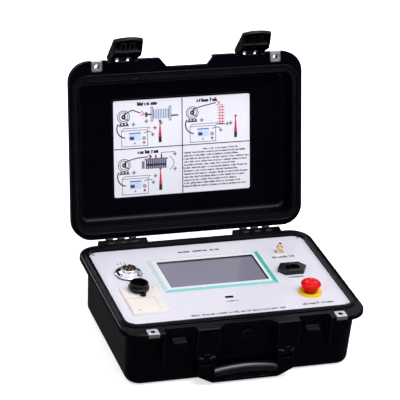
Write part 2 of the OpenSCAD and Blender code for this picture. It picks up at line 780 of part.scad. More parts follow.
module connector_pins() {
    color([0.85, 0.65, 0.25]) translate([plug_x, plug_y, panel_z]) at_contacts() {
        translate([0, 0, -4]) cylinder(r = 1, h = barrel_h + 1);
    }
}

module connector_nut() {
    color([0.75, 0.75, 0.77]) translate([plug_x, plug_y, under_z - 5]) difference() {
        cylinder(r = 19, h = 5, $fn = 6);
        translate([0, 0, -1]) cylinder(r = 14 + seat_gap, h = far);
    }
}

// Open rubber cup that covers the connector, with its pull tab
module dust_cap() {
    color([0.05, 0.05, 0.05]) translate([plug_x, plug_y - cap_reach, cap_z]) difference() {
        union() {
            rotate_extrude() polygon([
                [0, 0], [13.5, 0], [14.5, 1], [cap_r + 0.3, 3], [cap_r + 1.6, 4.2], [cap_r + 1.6, 6.4],
                [cap_r + 0.2, 7.6], [cap_r - 0.6, cap_h - 1.4], [cap_r, cap_h - 0.8], [cap_r - 0.4, cap_h],
                [0, cap_h]]);
            translate([2, -19.5, 0.6]) cylinder(r = 4.6, h = 3);
            translate([-0.6, -20, 0.6]) cube([5.2, 7, 3]);
        }
        translate([0, 0, 2.4]) cylinder(r = barrel_r + 0.15, h = far);
        translate([2, -20, 0]) cylinder(r = 1.6, h = 20);
    }
}

// Ring round the connector under its flange, and the strap that runs to the cap
module cap_tether() {
    strap_z = cap_z - panel_z;
    color([0.06, 0.06, 0.06]) translate([plug_x, plug_y, panel_z]) difference() {
        union() {
            translate([0, 0, 0.3]) cylinder(r = 21.5, h = 1.4);
            along_x(0, tether_w) polygon([
                [-18, 0.3], [-18, 1.7], [-24, 1.7], [-31, strap_z + 5.4], [-36, strap_z + 6.2],
                [-cap_reach + cap_r, strap_z + 6.2], [-cap_reach + cap_r, strap_z + 4.6],
                [-36, strap_z + 4.6], [-32, strap_z + 4], [-25, 0.3]]);
        }
        translate([0, 0, -1]) cylinder(r = 16 + run_gap + 0.2, h = 5);
        translate([0, -cap_reach, 0]) cylinder(r = cap_r + 1.6, h = far);
    }
}

// Printer frame with the door's opening and the hinge sockets
module printer_frame() {
    color([0.93, 0.9, 0.88]) difference() {
        union() {
            translate([printer_x, printer_y, panel_z]) sloped_block(printer_w, printer_d, printer_t, 0.8);
            translate([printer_x, printer_y, housing_top]) linear_extrude(panel_z + 0.5 - housing_top)
                square([printer_w - 5.4, printer_d - 5.4], center = true);
        }
        translate([door_x - door_w / 2 - door_gap, door_y0 - door_gap, 0])
            cube([door_w + 2 * door_gap, door_d + door_gap + paper_slot, far]);
        rod_x(door_x, door_pivot_y, door_pivot_z, 0.8 + run_gap, door_w + 4);
        translate([printer_x, printer_y, 0]) linear_extrude(under_z)
            square([printer_w - 5.4 - 2 * well_t, printer_d - 5.4 - 2 * well_t], center = true);
        translate([printer_x + printer_w / 2 - 6.5, printer_y + printer_d / 2 - 6.5, 0])
            cylinder(r = 1.2, h = far);
    }
}

// Deep box behind the panel that holds the paper
module printer_housing() {
    w = printer_w - 5.4;
    d = printer_d - 5.4;
    low = paper_z - paper_r - 0.3 - well_t;
    color([0.85, 0.83, 0.8]) difference() {
        translate([printer_x, printer_y, low]) linear_extrude(housing_top - low)
            square([w, d], center = true);
        translate([printer_x, printer_y, paper_z]) linear_extrude(far)
            square([w - 2 * well_t, d - 2 * well_t], center = true);
        rod_x(door_x, paper_y, paper_z, paper_r + 0.3, paper_l + 1);
    }
}

// Heated strip under the platen, on a bar between the housing's sides
module print_head() {
    color([0.25, 0.25, 0.27]) translate([printer_x, platen_y, platen_z - platen_r - 0.3]) {
        translate([-(printer_w - 5.4 - 2 * well_t) / 2, -3, -3])
            cube([printer_w - 5.4 - 2 * well_t, 9, 3]);
    }
}

// Door with round front edge, stub pins and the two lugs of the platen
module printer_door() {
    color([0.95, 0.91, 0.9]) {
        difference() {
            union() {
                along_x(door_x, door_w) {
                    translate([door_pivot_y, door_pivot_z]) circle(printer_t / 2);
                    translate([door_pivot_y, panel_z]) square([door_d - printer_t / 2, printer_t]);
                }
                rod_x(door_x, door_pivot_y, door_pivot_z, 0.8, door_w + 3.4);
                for (side = [-1, 1]) along_x(door_x + side * (door_w / 2 - 1.2), 2) {
                    translate([platen_y, platen_z]) circle(2.6);
                    translate([platen_y - 2.6, platen_z]) square([5.2, panel_z - platen_z + 0.5]);
                }
            }
            rod_x(door_x, platen_y, platen_z, 1.2 + run_gap, door_w + 2);
            translate([door_x - 12, door_pivot_y + 2, panel_z + printer_t - 0.5]) cube([5, 2.4, 1]);
        }
    }
}

module platen_roller() {
    color([0.15, 0.15, 0.15]) {
        rod_x(door_x, platen_y, platen_z, platen_r, door_w - 5.4);
        rod_x(door_x, platen_y, platen_z, 1.2, door_w - 0.6);
    }
}

module paper_roll() {
    color([0.96, 0.96, 0.94]) difference() {
        rod_x(door_x, paper_y, paper_z, paper_r, paper_l);
        rod_x(door_x, paper_y, paper_z, 5, far);
    }
}

// USB socket with its tongue, held behind the panel
module usb_socket() {
    color([0.1, 0.1, 0.11]) translate([hmi_x + 0.8, usb_y, 0]) {
        translate([0, 0, under_z - 14]) difference() {
            linear_extrude(14) square([usb_w, usb_d + 0.6], center = true);
            translate([0, 0, 3]) linear_extrude(far) square([12.5, 5.2], center = true);
        }
        translate([-5.5, -0.2, under_z - 12]) cube([11, 1.8, 10]);
        translate([0, 0, under_z - 3]) difference() {
            linear_extrude(3) square([30, 16], center = true);
            translate([0, 0, -1]) linear_extrude(far) square([usb_w, usb_d + 0.6], center = true);
        }
    }
}

module earth_stud() {
    color([0.8, 0.62, 0.3]) translate([earth_x, earth_y, 0]) {
        translate([0, 0, under_z - 14]) cylinder(r = stud_r, h = 14 + panel_t + stud_h - 4.5);
        translate([0, 0, panel_z]) cylinder(r = stud_r - 0.4, h = stud_h);
    }
}

module earth_washer() {
    color([0.8, 0.8, 0.8]) translate([earth_x, earth_y, panel_z]) difference() {
        cylinder(r = 7, h = 1.2);
        translate([0, 0, -1]) cylinder(r = stud_r + seat_gap, h = 4);
    }
}

// Knurled nut that clamps an earth lead
module earth_thumb_nut() {
    color([0.85, 0.66, 0.32]) translate([earth_x, earth_y, panel_z + 1.5]) difference() {
        union() {
            cylinder(r = thumb_r, h = 8);
            cylinder(r = stud_r + 1.4, h = 10.5);
        }
        translate([0, 0, -1]) cylinder(r = stud_r + run_gap, h = 20);
        for (k = [0:17]) rotate(20 * k) translate([thumb_r + 0.15, 0, 1])
            cylinder(r = 0.5, h = 6, $fn = 16);
    }
}

module earth_lock_nut() {
    color([0.75, 0.75, 0.77]) translate([earth_x, earth_y, under_z - 5]) difference() {
        cylinder(r = 5.8, h = 5, $fn = 6);
        translate([0, 0, -1]) cylinder(r = stud_r + seat_gap, h = 8);
    }
}

// Hexagon of the inlet's raised housing
module inlet_hexagon() {
    polygon([[-inlet_w / 2, 0], [-inlet_w / 2 + 9, -inlet_d / 2], [inlet_w / 2 - 9, -inlet_d / 2],
             [inlet_w / 2, 0], [inlet_w / 2 - 9, inlet_d / 2], [-inlet_w / 2 + 9, inlet_d / 2]]);
}

// Recess with its two cut corners on the far side
module inlet_recess() {
    polygon([[-recess_w / 2, -recess_d / 2], [recess_w / 2, -recess_d / 2],
             [recess_w / 2, recess_d / 2 - 4.5], [recess_w / 2 - 4.5, recess_d / 2],
             [4.5 - recess_w / 2, recess_d / 2], [-recess_w / 2, recess_d / 2 - 4.5]]);
}

module inlet_housing() {
    color([0.09, 0.09, 0.1]) translate([inlet_x, inlet_y, panel_z]) difference() {
        union() {
            linear_extrude(inlet_h) inlet_hexagon();
            translate([0, 0, -22]) linear_extrude(23) square([recess_w + 4, recess_d + 4], center = true);
        }
        translate([0, 0, inlet_h - 19]) linear_extrude(far) inlet_recess();
        at_blades() translate([0, 0, -far / 2]) cube([2.04, 4.04, far], center = true);
    }
}

module at_blades() {
    for (x = [-7, 7]) translate([x, -2, 0]) children();
    translate([0, 3, 0]) children();
}

module inlet_blades() {
    color([0.82, 0.8, 0.75]) translate([inlet_x, inlet_y, panel_z]) at_blades()
        translate([-1, -2, -30]) cube([2, 4, 30 + inlet_h - 5.5]);
}

module stop_ring() {
    color([0.98, 0.78, 0.08]) translate([stop_x, stop_y, panel_z]) difference() {
        cylinder(r = ring_r, h = ring_t);
        translate([0, 0, -1]) cylinder(r = bush_r + seat_gap, h = far);
    }
}

// Threaded bush through the panel, with its collar above and nut below
module stop_bush() {
    color([0.12, 0.12, 0.12]) translate([stop_x, stop_y, panel_z]) difference() {
        union() {
            translate([0, 0, -panel_t - 12]) cylinder(r = bush_r, h = panel_t + 12 + ring_t + 4);
            translate([0, 0, ring_t]) cylinder(r = collar_r, h = 2.6);
            translate([0, 0, -panel_t - 5]) cylinder(r = bush_r + 4, h = 5, $fn = 6);
        }
        translate([0, 0, -far / 2]) cylinder(r = stem_r + run_gap, h = far);
    }
}

module stop_stem() {
    color([0.6, 0.6, 0.6]) translate([stop_x, stop_y, 0])
        translate([0, 0, under_z - 14]) cylinder(r = stem_r, h = head_top - 8 + panel_t + 14);
}

// Red mushroom head: hollow underneath over the bush, dished grip above
module stop_head() {
    color([0.9, 0.04, 0.08]) translate([stop_x, stop_y, panel_z]) difference() {
        rotate_extrude() difference() {
            polygon([[0, head_low], [head_r - 4, head_low], [head_r - 2.2, head_low + 4.5],
                     [head_r - 0.8, head_top - 7.5], [head_r, head_top - 6.2], [head_r, head_top - 5],
                     [head_r - 1, head_top - 3.2], [head_r - 3.2, head_top - 1.4],
                     [head_r - 7, head_top - 0.3], [0, head_top]]);
            translate([-1, 0]) square([1 + collar_r + move_gap, ring_t + 4 + stop_travel + move_gap]);
        }
        translate([0, 0, -1]) cylinder(r = stem_r + run_gap, h = head_top - 8 + 1 + 0.3);
        for (k = [0:5]) rotate(60 * k + 30) translate([head_r + 2.8, 0, 0])
            cylinder(r = 4, h = head_top - 8);
    }
}

module stop_contact_block() {
    color([0.2, 0.45, 0.25]) translate([stop_x, stop_y, under_z - 12 - 30]) difference() {
        translate([-15, -20, 0]) cube([30, 40, 30]);
        translate([0, 0, 20]) cylinder(r = stem_r + 1, h = far);
    }
}

module valve_body() {
    color([0.15, 0.15, 0.16]) translate([0, front_y, valve_z]) rotate([90, 0, 0]) {
        translate([0, 0, -wall - 4]) cylinder(r = 4, h = wall + 4 + 4.5);
        translate([0, 0, -wall - 5.2]) cylinder(r = 7, h = 4, $fn = 6);
    }
}

module valve_knob() {
    color([0.1, 0.1, 0.11]) translate([0, front_y - move_gap, valve_z]) rotate([90, 0, 0]) difference() {
        cylinder(r = valve_r, h = valve_t);
        translate([0, 0, -1]) cylinder(r = 4 + run_gap, h = 1 + 4.5);
        for (k = [0:9]) rotate(36 * k) translate([valve_r + 0.4, 0, -1]) cylinder(r = 1, h = far, $fn = 20);
    }
}

// Corners of the chassis plate's fixing holes
module at_spacers() {
    for (x = [-1, 0, 1], y = [-1, 1])
        translate([x * (chassis_w / 2 - 12), y * (chassis_d / 2 - 12), 0]) children();
}

module chassis_plate() {
    color([0.78, 0.79, 0.8]) translate([0, 0, chassis_z]) difference() {
        linear_extrude(chassis_t) square([chassis_w, chassis_d], center = true);
        at_spacers() translate([0, 0, -1]) cylinder(r = 2 + seat_gap, h = 10);
    }
}

module chassis_spacers() {
    color([0.8, 0.7, 0.45]) at_spacers() {
        translate([0, 0, floor_z]) cylinder(r = spacer_r, h = spacer_h);
        translate([0, 0, chassis_z - 1]) cylinder(r = 2, h = 1 + chassis_t + 2);
    }
}

transformer_x = 26;
transformer_y = toroid_r + 7 - chassis_d / 2;

// Ring core with its winding
module transformer_coil() {
    color([0.75, 0.55, 0.25]) translate([transformer_x, transformer_y, deck_z]) rotate_extrude()
        translate([(toroid_r + 15) / 2, toroid_h / 2])
            plate2(toroid_r - 15, toroid_h, 6);
}

module transformer_washer() {
    color([0.7, 0.7, 0.72]) translate([transformer_x, transformer_y, deck_z + toroid_h]) difference() {
        cylinder(r = toroid_r - 12, h = 2);
        translate([0, 0, -1]) cylinder(r = 4 + seat_gap, h = 4);
    }
}

module transformer_bolt() {
    color([0.65, 0.65, 0.67]) translate([transformer_x, transformer_y, deck_z]) {
        cylinder(r = 4, h = toroid_h + 2);
        translate([0, 0, toroid_h + 2]) cylinder(r = 7, h = 5, $fn = 6);
    }
}

// Switched supply in a folded metal case with vent slots
module power_supply() {
    w = supply_w;
    d = supply_d;
    color([0.72, 0.73, 0.74]) translate([supply_x, supply_y, deck_z]) difference() {
        translate([-w / 2, -d / 2, 0]) cube([w, d, supply_h]);
        translate([1.5 - w / 2, 1.5 - d / 2, 1.5]) cube([w - 10, d - 3, supply_h - 3]);
        for (k = [0:13]) translate([10 - w / 2 + k * (w - 20) / 14, -0.3 * d, supply_h - 3])
            cube([4, 0.6 * d, 6]);
    }
}

module drive_board() {
    w = drive_w;
    d = drive_d;
    color([0.05, 0.35, 0.2]) translate([drive_x, drive_y, deck_z]) {
        translate([-w / 2, -d / 2, 6]) cube([w, d, 1.6]);
        for (x = [-1, 1], y = [-1, 1])
            translate([x * (w / 2 - 6), y * (d / 2 - 7), 0]) cylinder(r = 3, h = 6);
        translate([6 - w / 2, 5 - d / 2, 7.6]) cube([w / 4, 14, 12]);
        translate([w / 2 - 28, 5 - d / 2, 7.6]) cube([22, 18, 9]);
    }
}

// Finned block over the output stage
module drive_heatsink() {
    w = drive_w * 3 / 4;
    d = drive_d * 5 / 11;
    color([0.7, 0.71, 0.72]) translate([drive_x, drive_y + 8, deck_z + 7.6]) {
        translate([-w / 2, -d / 2, 0]) cube([w, d, 5]);
        for (k = [0:9]) translate([-w / 2 + k * (w - 2) / 9, -d / 2, 4]) cube([2, d, 22]);
    }
}

module storage_capacitors() {
    color([0.15, 0.2, 0.45]) for (k = [0:2])
        translate([chassis_w / 2 - 30, chassis_d / 2 - 38 - k * (2 * capacitor_r + 5), deck_z])
            cylinder(r = capacitor_r, h = capacitor_h);
}

module control_board() {
    w = control_w;
    d = control_d;
    color([0.05, 0.3, 0.4]) translate([control_x, control_y, deck_z]) {
        translate([-w / 2, -d / 2, 6]) cube([w, d, 1.6]);
        for (x = [-1, 1], y = [-1, 1])
            translate([x * (w / 2 - 5), y * (d / 2 - 5), 0]) cylinder(r = 3, h = 6);
        translate([-15, -15, 7.6]) cube([28, 28, 2.4]);
        translate([5 - w / 2, -d / 4, 7.6]) cube([10, d / 2, 10]);
        translate([w / 2 - 20, -10, 7.6]) cube([12, 30, 8]);
    }
}

// The moulded upper half, drawn shut
module lid_shell() {
    color([0.07, 0.07, 0.08]) on_lid() difference() {
        union() {
            translate([0, bay_y, lid_top_z]) mirror([0, 0, 1])
                tub_solid(lid_body_w, lid_body_d, open_r + wall, lid_lean, lid_top_z - lid_z - 1,
                          lid_fillet);
            translate([0, 0, lid_z]) linear_extrude(rim_plate) lid_outline();
            translate([0, 0, lid_z + 1]) linear_extrude(lid_skirt_h - 1) difference() {
                lid_outline();
                plate2(rim_w - 2 * wall, rim_d - 2 * wall, rim_r - wall);
            }
            // Tongue for the base's groove
            translate([0, bay_y, lid_z - tongue_h]) linear_extrude(tongue_h + 1)
                ring2(open_w, open_d, open_r, lip_w + lip_land + (groove_w + tongue_w) / 2,
                      lip_w + lip_land + (groove_w - tongue_w) / 2);
            // Stiffening ribs between the front skirt and the body
            for (side = [-1, 1], x = [-54, -28, 28, 56]) along_x(side * (latch_x + x), 2.5)
                polygon([[-rim_d / 2 + 2, lid_z + 2], [-rim_d / 2 + 2, lid_z + lid_skirt_h - 1],
                         [bay_y - lid_body_d / 2 + 5, lid_z + lid_skirt_h + 8],
                         [bay_y - lid_body_d / 2 + 5, lid_z + 2]]);
            for (side = [-1, 1]) {
                translate([side * hinge_x, 0, 0]) lid_knuckles();
                // Ears of the latch pin
                for (k = [-1, 1]) along_x(side * latch_x + k * 16.2, 7.4) {
                    translate([latch_y, latch_z]) circle(4.2);
                    polygon([[latch_y, latch_z - 4.2], [notch_y + 2, latch_z - 4.2],
                             [notch_y + 2, latch_z + 6], [latch_y, latch_z + 4.2]]);
                }
                translate([side * padlock_x - plate_w / 2, -rim_d / 2, lid_z + 1])
                    cube([plate_w, plate_d, lid_skirt_h - 1]);
            }
            // Wall behind each latch and behind the middle recess
            for (side = [-1, 1])
                translate([side * latch_x - latch_w / 2 - 3, notch_y, lid_z + 1])
                    cube([latch_w + 6, 3, lid_skirt_h - 1]);
            translate([-tab_in - 0.5, front_y + 2, lid_z + 1]) cube([2 * tab_in + 1, 3, lid_skirt_h - 1]);
        }
        difference() {
            translate([0, bay_y, lid_floor_z]) mirror([0, 0, 1])
                tub_solid(lid_bay_w, lid_bay_d, open_r, lid_lean, lid_bay_h + 8, lid_fillet - 1);
            translate([0, label_y, lid_floor_z - label_t - 0.8]) linear_extrude(far)
                plate2(label_w + 6, label_d + 6, 6);
        }
        // Shallow seat of the label, inside its raised frame
        translate([0, label_y, lid_floor_z - label_t - 1.4]) linear_extrude(label_t + 1.4)
            plate2(label_w + 0.6, label_d + 0.6, 3.3);
        // Channel of the gasket, over the base's lip
        translate([0, bay_y, lid_z - 3]) linear_extrude(3 + lip_h - rim_gap + gasket_gap + gasket_t)
            ring2(open_w, open_d, open_r, lip_w + 0.5, -0.5);
        for (side = [-1, 1]) {
            translate([side * padlock_x, padlock_y, 0]) cylinder(r = padlock_r, h = far);
            rod_x(side * hinge_x, hinge_y, hinge_z, hinge_pin_r + run_gap, hinge_w);
            rod_x(side * latch_x, latch_y, latch_z, latch_pin_r + seat_gap, latch_w);
            scale([side, 1, 1]) padlock_seat(lid_z - 1, lid_z - 1);
        }
    }
}

module lid_gasket() {
    color([0.1, 0.1, 0.1]) on_lid() translate([0, bay_y, base_h + lip_h + gasket_gap])
        linear_extrude(gasket_t) ring2(open_w, open_d, open_r, lip_w - 0.1, 0.1);
}

module lid_padlock_plates() {
    color([0.8, 0.8, 0.8]) on_lid() for (side = [-1, 1])
        translate([side * padlock_x, -rim_d / 2, lid_z]) mirror([0, 0, 1]) padlock_plate(0, 6.5);
}

module instruction_label() {
    color([0.92, 0.91, 0.95]) on_lid() translate([0, label_y, lid_floor_z - label_t])
        linear_extrude(label_t) plate2(label_w, label_d, 3);
}

module latch_pins() {
    color([0.75, 0.75, 0.77]) on_lid() for (side = [-1, 1])
        rod_x(side * latch_x, latch_y, latch_z, latch_pin_r, latch_w - 1);
}

// Latch: arched cover, two tapered cheeks, three knuckles and the ribbed hook
module latch() {
    face_y = latch_y - latch_face;
    low_z = latch_z - latch_l;
    end_r = (latch_w * latch_w / 4 + latch_bulge * latch_bulge) / (2 * latch_bulge);
    difference() {
        union() {
            // Cover, with the free end cut to an arc
            translate([0, face_y, 0]) rotate([90, 0, 0]) mirror([0, 0, 1]) linear_extrude(latch_t)
                intersection() {
                    translate([-latch_w / 2, low_z - latch_bulge])
                        square([latch_w, latch_z + 3.6 - low_z + latch_bulge]);
                    translate([0, low_z - latch_bulge + end_r]) circle(end_r, $fn = 128);
                }
            // Turned lip along the free end
            translate([0, face_y, 0]) rotate([90, 0, 0]) mirror([0, 0, 1]) linear_extrude(latch_t + 2.5)
                intersection() {
                    translate([-latch_w / 2, low_z - latch_bulge]) square([latch_w, 8]);
                    difference() {
                        translate([0, low_z - latch_bulge + end_r]) circle(end_r, $fn = 128);
                        translate([0, low_z - latch_bulge + end_r]) circle(end_r - 2, $fn = 128);
                    }
                }
            for (side = [-1, 1]) along_x(side * (latch_w / 2 - latch_t / 2), latch_t)
                polygon([[face_y, low_z + 0.5], [face_y, latch_z + 3.6], [latch_y, latch_z + 4.6],
                         [latch_y + 3.2, latch_z - 3.2], [hook_y + 3, hook_z + 5.5], [hook_y, hook_z],
                         [hook_y, hook_z - 3],
                         [face_y + latch_t + 2.5, low_z + 0.5]]);
            for (side = [-1, 1]) rod_x(side * (latch_w / 2 - 2.3), latch_y, latch_z, 4.6, 4.6);
            rod_x(0, latch_y, latch_z, 4.6, 13);
            along_x(0, 13) translate([face_y, latch_z - 4.6]) square([latch_face, 8.2]);
            // Hook plate and its U-shaped ribs
            along_x(0, latch_w - 1)
                polygon([[face_y + 1, hook_z - 3], [hook_y, hook_z - 3],
                         [hook_y, hook_z], [face_y + 1, hook_z]]);
            for (side = [-1, 1]) {
                for (x = [4, 11]) along_x(side * x, 2) polygon([
                    [face_y + 1, hook_z - 16], [face_y + 7, hook_z - 15], [hook_y - 2, hook_z - 1],
                    [face_y + 1, hook_z - 1]]);
                translate([side * 7.5 - 4.5, face_y + 1, hook_z - 16]) cube([9, 6, 2]);
            }
        }
        rod_x(0, latch_y, latch_z, latch_pin_r + run_gap, latch_w + 2);
        // Long shallow groove in the outside of each cheek
        for (side = [-1, 1]) along_x(side * latch_w / 2, 1)
            polygon([[face_y + 4.5, hook_z + 1], [face_y + 6.5, latch_z - 9], [face_y + 8, latch_z - 9],
                     [hook_y - 1.5, hook_z + 5]]);
    }
}

module left_latch() {
    color([0.06, 0.06, 0.07]) on_latch() translate([-latch_x, 0, 0]) latch();
}

module right_latch() {
    color([0.06, 0.06, 0.07]) on_latch() translate([latch_x, 0, 0]) latch();
}

// Radius and centre height of the grip's arch
arch_r = (grip_gap_w * grip_gap_w / 4 + grip_arch * grip_arch) / (2 * grip_arch);
arch_z = grip_z - arch_r;

// Front view of the handle: chamfered lower corners and an arched finger opening
module handle_outline() {
    difference() {
        polygon([[-handle_w / 2, handle_z + handle_t / 2], [-handle_w / 2, handle_corner_z],
                 [-handle_low_w / 2, handle_low_z], [handle_low_w / 2, handle_low_z],
                 [handle_w / 2, handle_corner_z], [handle_w / 2, handle_z + handle_t / 2]]);
        difference() {
            translate([-grip_gap_w / 2, grip_z - grip_arch - 6]) square([grip_gap_w, far]);
            translate([0, arch_z]) circle(arch_r + 1, $fn = 360);
        }
    }
}

module handle_frame() {
    back = handle_y + handle_t / 2;
    color([0.06, 0.06, 0.07]) difference() {
        intersection() {
            translate([0, back, 0]) rotate([90, 0, 0]) linear_extrude(handle_t) handle_outline();
            along_x(0, handle_w) {
                translate([handle_y, handle_z]) circle(handle_t / 2);
                translate([handle_y - handle_t / 2, handle_low_z + 4])
                    square([handle_t, handle_z - handle_low_z - 4]);
                translate([handle_y - handle_t / 2 + 4, handle_low_z])
                    square([handle_t - 8, handle_z - handle_low_z]);
                for (y = [-1, 1])
                    translate([handle_y + y * (handle_t / 2 - 4), handle_low_z + 4]) circle(4);
            }
        }
        for (side = [-1, 1]) {
            translate([side * lug_x - lug_slot_w / 2, handle_y - handle_t, handle_z - lug_r - 1.5])
                cube([lug_slot_w, 2 * handle_t, far]);
            rod_x(side * lug_x, handle_y, handle_z, handle_pin_r + run_gap, 60);
        }
        // Shallow pockets in the front of the lower web
        for (x = [-33.5, -4.5, 24.5]) translate([x, handle_y - handle_t / 2 - 1, handle_low_z + 6])
            cube([16, 2.2, 3.5]);
    }
}

// Rubber sleeve over the arched bar
module handle_grip() {
    half = asin((grip_gap_w / 2 - 0.5) / arch_r);
    color([0.1, 0.1, 0.11]) difference() {
        translate([0, handle_y, arch_z]) rotate([90, 0, 0]) rotate([0, 0, 90 - half])
            rotate_extrude(angle = 2 * half, $fn = 360) translate([arch_r, 0]) circle(grip_r, $fn = 48);
        translate([0, handle_y + handle_t / 2, 0]) rotate([90, 0, 0]) linear_extrude(handle_t)
            handle_outline();
    }
}

base_tub();
panel_plate();
panel_screws();
base_padlock_plates();
hinge_pins();
handle_pins();
hmi_bezel();
hmi_screen();
hmi_housing();
hmi_clamps();
connector_shell();
connector_insert();
connector_pins();
connector_nut();
dust_cap();
cap_tether();
printer_frame();
printer_housing();
print_head();
printer_door();
platen_roller();
paper_roll();
usb_socket();
earth_stud();
earth_washer();
earth_thumb_nut();
earth_lock_nut();
inlet_housing();
inlet_blades();
stop_ring();
stop_bush();
stop_stem();
stop_head();
stop_contact_block();
valve_body();
valve_knob();
chassis_plate();
chassis_spacers();
transformer_coil();
transformer_washer();
transformer_bolt();
power_supply();
drive_board();
drive_heatsink();
storage_capacitors();
control_board();
lid_shell();
lid_gasket();
lid_padlock_plates();
instruction_label();
latch_pins();
left_latch();
right_latch();
handle_frame();
handle_grip();
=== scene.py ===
"""Dresses the cable tester in its carrying case.

It adds finishes, printing, small fittings and the studio round the object.
"""

import json
import math
import random

import bmesh
import bpy
from bpy.props import FloatProperty, FloatVectorProperty, PointerProperty
from bpy.types import Operator, Panel, PropertyGroup
from mathutils import Matrix, Vector


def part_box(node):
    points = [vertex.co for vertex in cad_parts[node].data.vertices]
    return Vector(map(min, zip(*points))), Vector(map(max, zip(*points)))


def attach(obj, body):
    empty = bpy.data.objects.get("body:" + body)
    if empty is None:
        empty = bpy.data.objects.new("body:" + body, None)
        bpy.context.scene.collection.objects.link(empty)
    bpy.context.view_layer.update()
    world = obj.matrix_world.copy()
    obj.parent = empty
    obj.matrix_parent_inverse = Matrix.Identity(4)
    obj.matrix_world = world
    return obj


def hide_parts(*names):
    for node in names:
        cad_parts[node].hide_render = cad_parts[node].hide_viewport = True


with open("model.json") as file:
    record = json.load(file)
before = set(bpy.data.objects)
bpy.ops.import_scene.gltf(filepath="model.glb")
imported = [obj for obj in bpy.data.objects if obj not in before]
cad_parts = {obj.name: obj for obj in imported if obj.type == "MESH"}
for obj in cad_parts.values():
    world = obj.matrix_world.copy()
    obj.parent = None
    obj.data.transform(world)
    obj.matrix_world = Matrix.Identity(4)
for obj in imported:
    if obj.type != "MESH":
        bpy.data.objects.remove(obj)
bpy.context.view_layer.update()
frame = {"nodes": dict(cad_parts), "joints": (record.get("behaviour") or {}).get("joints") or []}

bl_info = {
    "name": "Cable Tester Case",
    "version": (1, 0, 0),
    "blender": (4, 5, 0),
    "location": "3D View > Sidebar > Cable Tester",
    "description": "Finishes, printing and small fittings of a portable cable tester",
    "category": "Object",
}

MM = 0.001
SORT_LINE = Vector((1.0, 1.7, 2.9))

# Camera
CAMERA_PLACE = (-1059.67, -2794.27, 1727.90)  # mm
YAW, PITCH, ROLL = 19.94, -26.39, 4.73  # degrees
SENSOR_W = 36  # mm
VIEW_DEPTH = 50  # m

# Studio, in metres
LIT_CENTRE = (0, 0, 0.14)
REAR_SHARE = 2.5  # rear lamp's power over the fill lamps'
SKY_SPAN = (-0.10, -0.75)  # slopes of a mirrored ray between which the room brightens
FLOOR_HALF = 8.0
FADE_SPAN = (0.25, 0.65)  # distances between which the floor turns white
FADE_LEVELS = (0.62, 1.0)

# Printing on the panel: left, right, y, height in letter heights, boldness
PANEL_ROWS = {
    "heading": (-38, 36, 106.5, 1.55, 1.05),
    "foot line": (-80, 78, -102, 1.25, 0.95),
    "usb slot": (-10, 9, -66, 0.9, 1.0),
    "earth terminal": (115, 150, 61.5, 1.35, 1.15),
    "emergency stop": (110, 160, -98, 1.45, 1.0),
    "mains inlet": (117, 145, -8, 1.0, 1.0),
}
CONTACT_MARKS_X = (-149, -143, -137)

# Touch screen, in millimetres
BEZEL_SLOPES = ((6, 9), (4.5, 6))  # left and right, front and rear
BEZEL_LIP = 2.2  # how far the rear border reaches over the glass
BEZEL_FIT = 0.1  # gap round the glass
# Dark strips round the glass: painted shade of the screen's recess, widest where the shade falls
RECESS_SHADE_REAR, RECESS_SHADE_RIGHT, RECESS_SHADE_LEFT = 4.4, 2.4, 0.6  # widths
RECESS_SHADE_JOINT = 0.05

# Label, in millimetres
LABEL_CENTRE = (0, 5.7, 135.72)  # in the shut lid
TITLE_H, TITLE_W, TITLE_BOLD = 6.6, 36, 1.35
TEXT_H, TEXT_HEAD_H, TEXT_BOLD = 3.4, 3.0, 1.1
TEXT_ROWS, TEXT_TOP, TEXT_PITCH = 13, -9.5, 5.3
INK_LAYER = 0.015  # step in height between two inks

PANEL_SEED, LABEL_SEED = 7, 11
LABEL_INKS = ("pale_ink", "grey_ink", "blue_ink", "violet_ink", "red_ink", "ink")  # from the bottom up


def srgb(red, green, blue):
    """Linear colour of a 0-255 triple."""
    return tuple(
        (c / 255 / 12.92) if c / 255 <= 0.04045 else ((c / 255 + 0.055) / 1.055) ** 2.4
        for c in (red, green, blue)
    )


def shade(colour, factor):
    """The colour, darker or lighter by a factor."""
    return tuple(c * factor for c in colour)


def colour_prop(name, description, default):
    return FloatVectorProperty(
        name=name, description=description, subtype="COLOR", size=3, min=0.0, max=1.0, default=default
    )


def number_prop(name, description, default, least=0.0, **more):
    return FloatProperty(name=name, description=description, default=default, min=least, **more)


def length_prop(name, description, default_mm):
    return number_prop(name, description, default_mm * MM, unit="LENGTH", subtype="DISTANCE")


